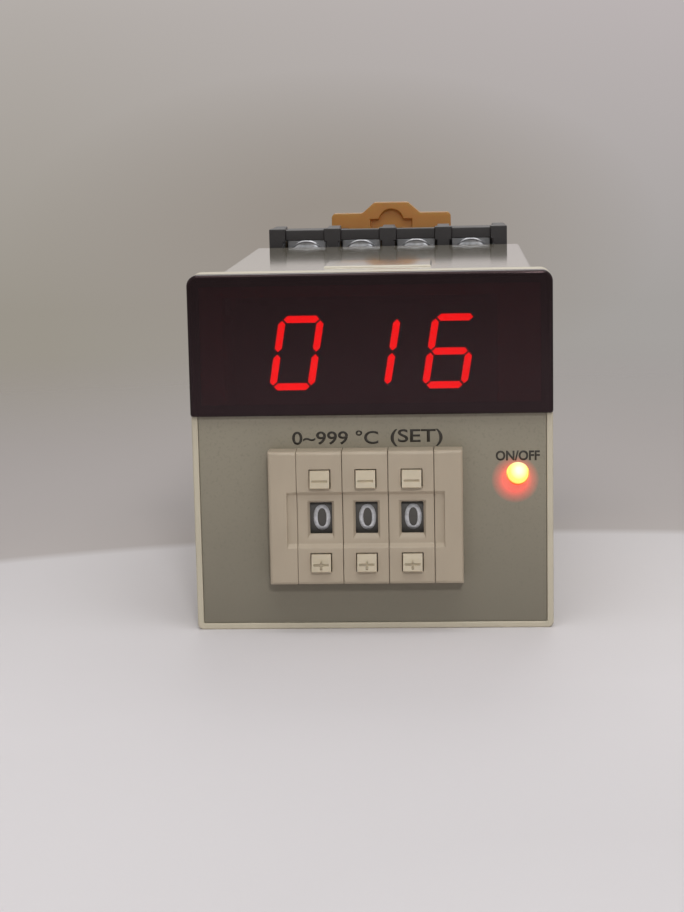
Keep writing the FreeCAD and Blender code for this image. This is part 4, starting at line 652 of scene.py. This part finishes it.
def wrap(mesh, radius, turn):
    """Lay a flat mesh that faces -Y on a drum about the X direction, turned by an angle."""
    shell = bmesh.new()
    shell.from_mesh(mesh)
    levels = [spot.co.z for spot in shell.verts]
    cuts = 10
    for index in range(1, cuts):
        level = min(levels) + (max(levels) - min(levels)) * index / cuts
        geometry = [*shell.verts, *shell.edges, *shell.faces]
        bmesh.ops.bisect_plane(shell, geom=geometry, plane_co=(0, 0, level), plane_no=(0, 0, 1))
    for spot in shell.verts:
        angle = spot.co.z / radius + turn
        reach = radius - spot.co.y
        spot.co = (spot.co.x, -reach * cos(angle), reach * sin(angle))
    shell.to_mesh(mesh)
    shell.free()


def begin_tree(label, **kinds):
    """Begin a node tree whose inputs have these names and kinds; return it with the inputs."""
    tree = bpy.data.node_groups.new(label, "GeometryNodeTree")
    tree.interface.new_socket(name="Geometry", in_out="OUTPUT", socket_type="NodeSocketGeometry")
    for name, kind in kinds.items():
        tree.interface.new_socket(name=name, in_out="INPUT", socket_type=f"NodeSocket{kind}")
    return tree, add(tree, "NodeGroupInput").outputs


def end_tree(tree, shape, finish):
    """End a node tree: make its shape plain, give it its finish and hand it out."""
    real = add(tree, "GeometryNodeRealizeInstances", {"Geometry": shape})
    coated = add(tree, "GeometryNodeSetMaterial", {"Geometry": real, "Material": finish})
    add(tree, "NodeGroupOutput", {"Geometry": coated})
    return tree


def grid_tree():
    """Build the tree that copies a piece over a grid that faces the front."""
    spans = {"Columns": "Int", "Rows": "Int", "Width": "Float", "Height": "Float"}
    tree, given = begin_tree("Rows of a piece", Piece="Object", **spans, Finish="Material")
    counts = {"Vertices X": given["Columns"], "Vertices Y": given["Rows"]}
    grid = add(tree, "GeometryNodeMeshGrid", {"Size X": given["Width"], "Size Y": given["Height"], **counts})
    upright = add(tree, "GeometryNodeTransform", {"Geometry": grid, "Rotation": (pi / 2, 0, 0)})
    piece = add(tree, "GeometryNodeObjectInfo", {"Object": given["Piece"], "As Instance": True})
    spots = {"Points": upright, "Instance": piece.outputs["Geometry"]}
    copies = add(tree, "GeometryNodeInstanceOnPoints", spots)
    return end_tree(tree, copies, given["Finish"])


def thread_tree():
    """Build the tree that winds a thread round a screw's shank along +Y."""
    spans = {"Radius": "Float", "Pitch": "Float", "Length": "Float"}
    tree, given = begin_tree("Screw thread", **spans, Finish="Material")
    turns = add(tree, "ShaderNodeMath", {0: given["Length"], 1: given["Pitch"]}, operation="DIVIDE")
    reach = {"Start Radius": given["Radius"], "End Radius": given["Radius"], "Height": given["Length"]}
    spiral = add(tree, "GeometryNodeCurveSpiral", {"Resolution": 20, "Rotations": turns, **reach})
    ridge = add(tree, "ShaderNodeMath", {0: given["Pitch"], 1: 0.3}, operation="MULTIPLY")
    section = add(tree, "GeometryNodeCurvePrimitiveCircle", {"Resolution": 4, "Radius": ridge})
    ends = {"Curve": spiral, "Profile Curve": section, "Fill Caps": True}
    swept = add(tree, "GeometryNodeCurveToMesh", ends)
    lying = add(tree, "GeometryNodeTransform", {"Geometry": swept, "Rotation": (-pi / 2, 0, 0)})
    return end_tree(tree, lying, given["Finish"])


def grown(tree, **inputs):
    """Return the plain mesh that a node tree makes from named inputs."""
    item = show("growing", bpy.data.meshes.new("growing"))
    modifier = item.modifiers.new(tree.name, "NODES")
    modifier.node_group = tree
    for socket in tree.interface.items_tree:
        if socket.in_out == "INPUT":
            modifier[socket.identifier] = inputs[socket.name]
    mesh = plain_mesh(item)
    bpy.data.objects.remove(item)
    return mesh


# the front


class BuildFront(Operator):
    """Make the frame, the window and the front plate."""

    bl_idname = "controller.front"
    bl_label = "Front"

    def execute(self, context):
        sizes = context.scene.controller_sizes
        rounded("front_frame", "bezel", "controller", "cream_plastic", frame_plastic(), sizes.moulding_edge)
        window = window_acrylic()
        rounded("front_window", "display_window", "controller", "tinted_window", window, sizes.window_edge)
        rounded("front_plate", "face_plate", "controller", "grey_plate", plate_print(), sizes.key_edge)
        return {"FINISHED"}


class BuildDisplay(Operator):
    """Finish the display's bars and their block."""

    bl_idname = "controller.display"
    bl_label = "Display"

    def execute(self, context):
        dress(lit_epoxy(), "lit_segments")
        dress(dark_epoxy(), "unlit_segments")
        dress(display_shell(), "display_body")
        return {"FINISHED"}


class BuildPrinting(Operator):
    """Print the plate."""

    bl_idname = "controller.printing"
    bl_label = "Printing"

    def execute(self, context):
        sizes = context.scene.controller_sizes
        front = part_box("face_plate")[0].y
        low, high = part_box("indicator_led")
        label_left = (low.x + high.x - sizes.label_width) / 2
        lines = []
        # the last value widens the strokes, as a share of the font's size
        for text, left, width, height, level, weight in (
            ("0~999 °C", sizes.range_left, sizes.range_width, sizes.range_height, sizes.range_level, 0.014),
            ("(SET)", sizes.word_left, sizes.word_width, sizes.word_height, sizes.word_level, 0.014),
            ("ON/OFF", label_left, sizes.label_width, sizes.label_height, sizes.label_level, 0.03),
        ):
            mesh = lettering(text, height, sizes.ink_thickness, 1.0, weight)
            mesh.transform(Matrix.Diagonal((width / width_of(mesh), 1, 1, 1)))
            mesh.transform(Matrix.Translation((left + width / 2, front, level)))
            lines.append(mesh)
        carry(place("plate_printing", joined("printing", lines), printing_ink()), "controller", "grey_plate")
        return {"FINISHED"}


class BuildLamp(Operator):
    """Make the indicator lamp."""

    bl_idname = "controller.lamp"
    bl_label = "Lamp"

    def execute(self, context):
        sizes = context.scene.controller_sizes
        low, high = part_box("indicator_led")
        rim = (high.x - low.x) / 2
        radius = sizes.lens_radius
        flange = high.y - sizes.lens_flange
        dome = arc((0.0, low.y + radius), radius, -90, 0, 12)
        outline = [*dome, (radius, flange), (rim, flange), (rim, high.y), (0.0, high.y)]
        centre = ((low.x + high.x) / 2, (low.z + high.z) / 2)
        soft = 0.05 * MM
        lamp = place("lamp_lens", lathe(outline, centre), lamp_epoxy(), soft)
        carry(lamp, "controller", "indicator_epoxy", "indicator_led")
        dress(tinned_lead(), "led_leads")
        return {"FINISHED"}


# the thumbwheel switch


class BuildSwitch(Operator):
    """Make the thumbwheel switch's housings and cheeks."""

    bl_idname = "controller.switch"
    bl_label = "Switch"

    def execute(self, context):
        edge = context.scene.controller_sizes.switch_edge
        plastic = switch_plastic()
        for side in ("left", "right"):
            node = f"switch_end_{side}"
            rounded(f"switch_cheek_{side}", node, "controller", "beige_plastic", plastic, edge)
        for number in MODULES:
            node = f"switch_module_{number}"
            rounded(f"switch_housing_{number}", node, "controller", "beige_plastic", plastic, edge)
        dress(circuit_board(), *[f"code_board_{number}" for number in MODULES])
        dress(contact_brass(), *[f"wheel_contacts_{number}" for number in MODULES])
        dress(spring_steel(), "key_springs")
        dress(zinc_steel(), "switch_rods")
        return {"FINISHED"}


class BuildWheels(Operator):
    """Make the digit wheels and their figures."""

    bl_idname = "controller.wheels"
    bl_label = "Digit wheels"

    def execute(self, context):
        sizes = context.scene.controller_sizes
        drum, ink = wheel_plastic(), figure_ink()
        bold = 0.004
        zero = lettering("0", sizes.figure_height, sizes.ink_thickness)
        stretch = sizes.figure_width / width_of(zero)
        bpy.data.meshes.remove(zero)
        for number in MODULES:
            low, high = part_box(f"digit_wheel_{number}")
            body = f"wheel_{number}"
            rounded(f"drum_{number}", f"digit_{body}", body, "wheel_grey", drum, sizes.key_edge)
            radius = (high.z - low.z) / 2
            figures = []
            for figure in range(10):
                mesh = lettering(str(figure), sizes.figure_height, sizes.ink_thickness, stretch, bold)
                wrap(mesh, radius, 2 * pi * figure / 10)
                figures.append(mesh)
            ring = joined(f"figures_{number}", figures)
            across = high.x - sizes.figure_inset
            ring.transform(Matrix.Translation((across, (low.y + high.y) / 2, (low.z + high.z) / 2)))
            carry(place(f"wheel_figures_{number}", ring, ink), body, "wheel_grey")
        return {"FINISHED"}


def paint_marks(mesh, paint, lip, right):
    """Paint the faces of a key's engraved mark: those wholly within its reach, near the key's lip."""
    sizes = bpy.context.scene.controller_sizes
    middle = right - sizes.mark_inset
    mesh.materials.append(paint)
    for face in mesh.polygons:
        spots = [mesh.vertices[index].co for index in face.vertices]
        across = max(abs(spot.x - middle) for spot in spots)
        deepest = max(spot.y for spot in spots)
        if across < sizes.mark_reach and deepest < lip + sizes.mark_depth:
            face.material_index = 1


class BuildKeys(Operator):
    """Make the push keys."""

    bl_idname = "controller.keys"
    bl_label = "Push keys"

    def execute(self, context):
        edge = context.scene.controller_sizes.key_edge
        plastic = key_plastic()
        paint = mark_ink()
        for number in MODULES:
            for kind in ("minus", "plus"):
                node = f"{kind}_key_{number}"
                body = f"{kind}_{number}"
                cap = rounded(f"{kind}_cap_{number}", node, body, "ivory_plastic", plastic, edge)
                low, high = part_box(node)
                paint_marks(cap.data, paint, low.y, high.x)
        return {"FINISHED"}


# the housing and what it holds


class BuildHousing(Operator):
    """Make the housing and its plug."""

    bl_idname = "controller.housing"
    bl_label = "Housing"

    def execute(self, context):
        edge = context.scene.controller_sizes.moulding_edge
        rounded("housing", "case", "controller", "cream_plastic", housing_plastic(), edge)
        rounded("plug_moulding", "plug_base", "controller", "black_plug", plug_phenolic(), edge)
        dress(nickel_pin(), "plug_pins")
        dress(zinc_steel(), "base_screws")
        dress(wire_insulation(), "pin_leads")
        return {"FINISHED"}


class BuildInside(Operator):
    """Finish the boards and the parts inside the housing."""

    bl_idname = "controller.inside"
    bl_label = "Inside"

    def execute(self, context):
        dress(circuit_board(), "display_board", "power_board", "logic_board")
        dress(header_plastic(), "board_connectors")
        dress(core_laminations(), "transformer_core")
        dress(bobbin_nylon(), "transformer_bobbin")
        dress(winding_tape(), "transformer_winding")
        dress(relay_cover(), "output_relay")
        dress(can_sleeve(), "capacitors")
        dress(chip_epoxy(), "ic_packages")
        return {"FINISHED"}


# the rail socket


class BuildSocket(Operator):
    """Make the rail socket's mouldings."""

    bl_idname = "controller.socket"
    bl_label = "Socket"

    def execute(self, context):
        edge = context.scene.controller_sizes.moulding_edge
        plastic = socket_plastic()
        rounded("socket_front", "socket_body", "socket", "black_socket", plastic, edge)
        rounded("socket_rear", "socket_base", "socket", "black_socket", plastic, edge)
        dress(contact_brass(), "socket_contacts")
        dress(zinc_steel(), "cover_screws")
        return {"FINISHED"}


def terminal_screw(head, low, high, plate, pitch, steel):
    """Return one pan-head screw with a cross slot and a threaded shank, on the line X = Z = 0."""
    crown, tip, soft = 0.35 * MM, 0.4 * MM, 0.06 * MM
    rim = low + crown
    core = head * 0.55
    outline = [(0.0, low), *arc((head - crown, rim), crown, -90, 0, 4), (head, plate), (core, plate)]
    outline += [(core, high - tip), (core * 0.7, high), (0.0, high)]
    screw = place("screw", lathe(outline, (0.0, 0.0), 32), steel)
    # half the length and half the width of the slots, and their depth
    reach, half, deep = head * 0.66, 0.36 * MM, 0.7 * MM
    turned = Matrix.Translation((0, low, 0)) @ Matrix.Rotation(radians(40), 4, "Y")
    cutter = bmesh.new()
    for across, up in ((reach, half), (half, reach)):
        spans = Matrix.Diagonal((2 * across, 2 * deep, 2 * up, 1.0))
        bmesh.ops.create_cube(cutter, size=1.0, matrix=turned @ spans)
    tool_mesh = bpy.data.meshes.new("slots")
    cutter.to_mesh(tool_mesh)
    cutter.free()
    tool = place("slots", tool_mesh, steel)
    slots = screw.modifiers.new("Slots", "BOOLEAN")
    slots.object = tool
    slots.solver = "EXACT"
    slots.use_self = True
    cut = plain_mesh(screw)
    bpy.data.objects.remove(screw)
    bpy.data.objects.remove(tool)
    screw = place("screw", cut, steel, soft)
    finished = plain_mesh(screw)
    bpy.data.objects.remove(screw)
    thread = grown(thread_tree(), Radius=core, Pitch=pitch, Length=high - tip - plate, Finish=steel)
    thread.transform(Matrix.Translation((0, plate, 0)))
    return joined("screw_pattern", [finished, thread])


class BuildTerminals(Operator):
    """Make the socket's clamp screws and saddle plates."""

    bl_idname = "controller.terminals"
    bl_label = "Terminals"

    def execute(self, context):
        sizes = context.scene.controller_sizes
        steel = zinc_steel()
        low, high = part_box("terminal_screws")
        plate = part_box("clamp_plates")[0].y
        head = 3.0 * MM
        mesh = terminal_screw(head, low.y, high.y, plate, sizes.thread_pitch, steel)
        pattern = place("screw_pattern", mesh, steel)
        spread = {"Width": high.x - low.x - 2 * head, "Height": high.z - low.z - 2 * head}
        rows = grown(grid_tree(), Piece=pattern, Columns=4, Rows=2, Finish=steel, **spread)
        bpy.data.objects.remove(pattern)
        carry(place("clamp_screws", rows, steel), "socket", "zinc_steel", "terminal_screws")
        rounded("saddle_plates", "clamp_plates", "socket", "zinc_steel", steel, sizes.switch_edge)
        return {"FINISHED"}


class BuildClip(Operator):
    """Make the amber rail clip."""

    bl_idname = "controller.clip"
    bl_label = "Rail clip"

    def execute(self, context):
        edge = context.scene.controller_sizes.moulding_edge
        rounded("rail_catch", "din_clip", "rail_clip", "amber_clip", clip_plastic(), edge)
        dress(spring_steel(), "clip_spring")
        return {"FINISHED"}


# the studio


def floor_paper():
    """Matt paper: a pale round table with a soft edge, a greyer surround, then fading out."""
    colours = bpy.context.scene.controller_colours
    studio = bpy.context.scene.controller_studio
    material = tinted("matt_paper", "floor", 0.03, 60.0, 0.4, 10.0, 0.75)
    tree, shader, here, ground = opened(material)
    reach = distance(tree, here, (studio.table_across, studio.table_back, 0), (1, 1, 0))
    radius = studio.table_radius
    # half the width of the table's blurred edge
    soft = 2.5 * MM
    # the shade round the object, then the table and what lies round it
    near = darker(colours.floor, 0.12)
    stops = [(30 * MM, near), (85 * MM, ground), (radius - soft, ground), (radius + soft, colours.surround)]
    tree.links.new(graded(tree, reach, stops), shader.inputs["Base Color"])
    fade = {"Value": reach, "From Min": 1.3 * radius, "From Max": 3 * radius}
    clear = add(tree, "ShaderNodeMapRange", fade, interpolation_type="SMOOTHSTEP")
    gone = add(tree, "ShaderNodeBsdfTransparent")
    mixed = add(tree, "ShaderNodeMixShader", {0: clear, 1: shader, 2: gone})
    output = next(item for item in tree.nodes if item.type == "OUTPUT_MATERIAL")
    tree.links.new(mixed.outputs[0], output.inputs["Surface"])
    return material


def set_world():
    """Light from all round at a plain level, and the backdrop, paler higher up, where it is seen."""
    scene = bpy.context.scene
    colours = scene.controller_colours
    world = bpy.data.worlds.new("plain_backdrop")
    world.use_nodes = True
    tree = world.node_tree
    tree.nodes.clear()
    rays = add(tree, "ShaderNodeLightPath").outputs
    seen = rays["Is Camera Ray"]
    for kind in ("Is Glossy Ray", "Is Transmission Ray"):
        seen = add(tree, "ShaderNodeMath", {0: seen, 1: rays[kind]}, operation="MAXIMUM")
    warm_white = (1.0, 0.98, 0.96, 1.0)
    light = {"Color": warm_white, "Strength": scene.controller_studio.ambient}
    ambient = add(tree, "ShaderNodeBackground", light)
    # a direction's Z is how far it rises: level ahead is 0 and straight up is 1
    way = add(tree, "ShaderNodeTexCoord").outputs["Generated"]
    parts = add(tree, "ShaderNodeSeparateXYZ", {0: way}).outputs
    foot, high, over = -0.09, 0.05, (0.2, colours.backdrop_top)
    left = [(foot, colours.backdrop), (high, colours.backdrop_high), over]
    right = [(foot, colours.backdrop_right), (high, colours.backdrop_right_high), over]
    sides = [(-0.2, graded(tree, parts["Z"], left)), (0.1, graded(tree, parts["Z"], right))]
    plain = graded(tree, parts["X"], sides)
    # a darker, wide cloud behind the object
    away = distance(tree, way, (-0.056, 0, -0.055), (0.5, 0, 1))
    tone = graded(tree, away, [(0.015, colours.backdrop_cloud), (0.08, plain)])
    backdrop = add(tree, "ShaderNodeBackground", {"Color": tone, "Strength": 1.0})
    mixed = add(tree, "ShaderNodeMixShader", {0: seen, 1: ambient, 2: backdrop})
    add(tree, "ShaderNodeOutputWorld", {"Surface": mixed})
    scene.world = world


def set_light(name, spot, size, power, target):
    """Hang a square soft light that faces a point and isn't seen itself."""
    lamp = bpy.data.lights.new(name, "AREA")
    lamp.size = size
    lamp.energy = power
    item = show(name, lamp)
    item.location = spot
    aim = Vector(target) - Vector(spot)
    item.rotation_euler = aim.to_track_quat("-Z", "Y").to_euler()
    item.visible_camera = False


def set_floor():
    """Lay the floor under the frame's lower edge and the socket's heel."""
    studio = bpy.context.scene.controller_studio
    frame_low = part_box("bezel")[0]
    socket_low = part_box("socket_body")[0]
    fall = (socket_low.z - frame_low.z) / (studio.heel - frame_low.y)
    # in metres, far out of the view
    reach = 3.0
    corners = ((-reach, -reach), (reach, -reach), (reach, reach), (-reach, reach))
    spots = [(across, back, frame_low.z + (back - frame_low.y) * fall) for across, back in corners]
    mesh = bpy.data.meshes.new("floor")
    mesh.from_pydata(spots, [], [range(4)])
    place("floor", mesh, floor_paper())


def set_camera():
    """Set the camera where the photograph was taken from."""
    scene = bpy.context.scene
    studio = scene.controller_studio
    camera = bpy.data.cameras.new("camera")
    camera.lens = studio.focal_length
    camera.sensor_width = 36.0
    camera.clip_start = 0.01
    item = show("camera", camera)
    turn = Matrix.Rotation(studio.yaw, 4, "Z") @ Matrix.Rotation(studio.pitch, 4, "X")
    turn = turn @ Matrix.Rotation(studio.roll, 4, "Y") @ Matrix.Rotation(pi / 2, 4, "X")
    spot = (studio.camera_across, studio.camera_back, studio.camera_up)
    item.matrix_world = Matrix.Translation(spot) @ turn
    scene.camera = item
    scene.view_settings.view_transform = "Standard"


class BuildStudio(Operator):
    """Set the floor, the lights and the camera."""

    bl_idname = "controller.studio"
    bl_label = "Studio"

    def execute(self, context):
        studio = context.scene.controller_studio
        set_world()
        set_floor()
        for name, (spot, size, target) in LIGHTS.items():
            set_light(f"{name}_light", spot, size, getattr(studio, f"{name}_power"), target)
        set_camera()
        return {"FINISHED"}


# the add-on


STEPS = (
    BuildFront, BuildDisplay, BuildPrinting, BuildLamp, BuildSwitch, BuildWheels, BuildKeys,
    BuildHousing, BuildInside, BuildSocket, BuildTerminals, BuildClip, BuildStudio,
)


class ControllerPanel(Panel):
    """List the steps and the sizes, colours and settings that they use."""

    bl_idname = "VIEW3D_PT_controller"
    bl_label = "Temperature controller"
    bl_space_type = "VIEW_3D"
    bl_region_type = "UI"
    bl_category = "Controller"

    def draw(self, context):
        for step in STEPS:
            self.layout.operator(step.bl_idname)
        scene = context.scene
        for group in (scene.controller_sizes, scene.controller_colours, scene.controller_studio):
            box = self.layout.box()
            for name in group.bl_rna.properties.keys():
                if name not in ("rna_type", "name"):
                    box.prop(group, name)


CLASSES = (ControllerSizes, ControllerColours, StudioSettings, *STEPS, ControllerPanel)


def register():
    for item in CLASSES:
        bpy.utils.register_class(item)
    Scene.controller_sizes = PointerProperty(type=ControllerSizes)
    Scene.controller_colours = PointerProperty(type=ControllerColours)
    Scene.controller_studio = PointerProperty(type=StudioSettings)


def unregister():
    del Scene.controller_studio
    del Scene.controller_colours
    del Scene.controller_sizes
    for item in reversed(CLASSES):
        bpy.utils.unregister_class(item)


def main():
    register()
    for step in STEPS:
        group, name = step.bl_idname.split(".")
        getattr(getattr(bpy.ops, group), name)()


if __name__ == "__main__":
    main()
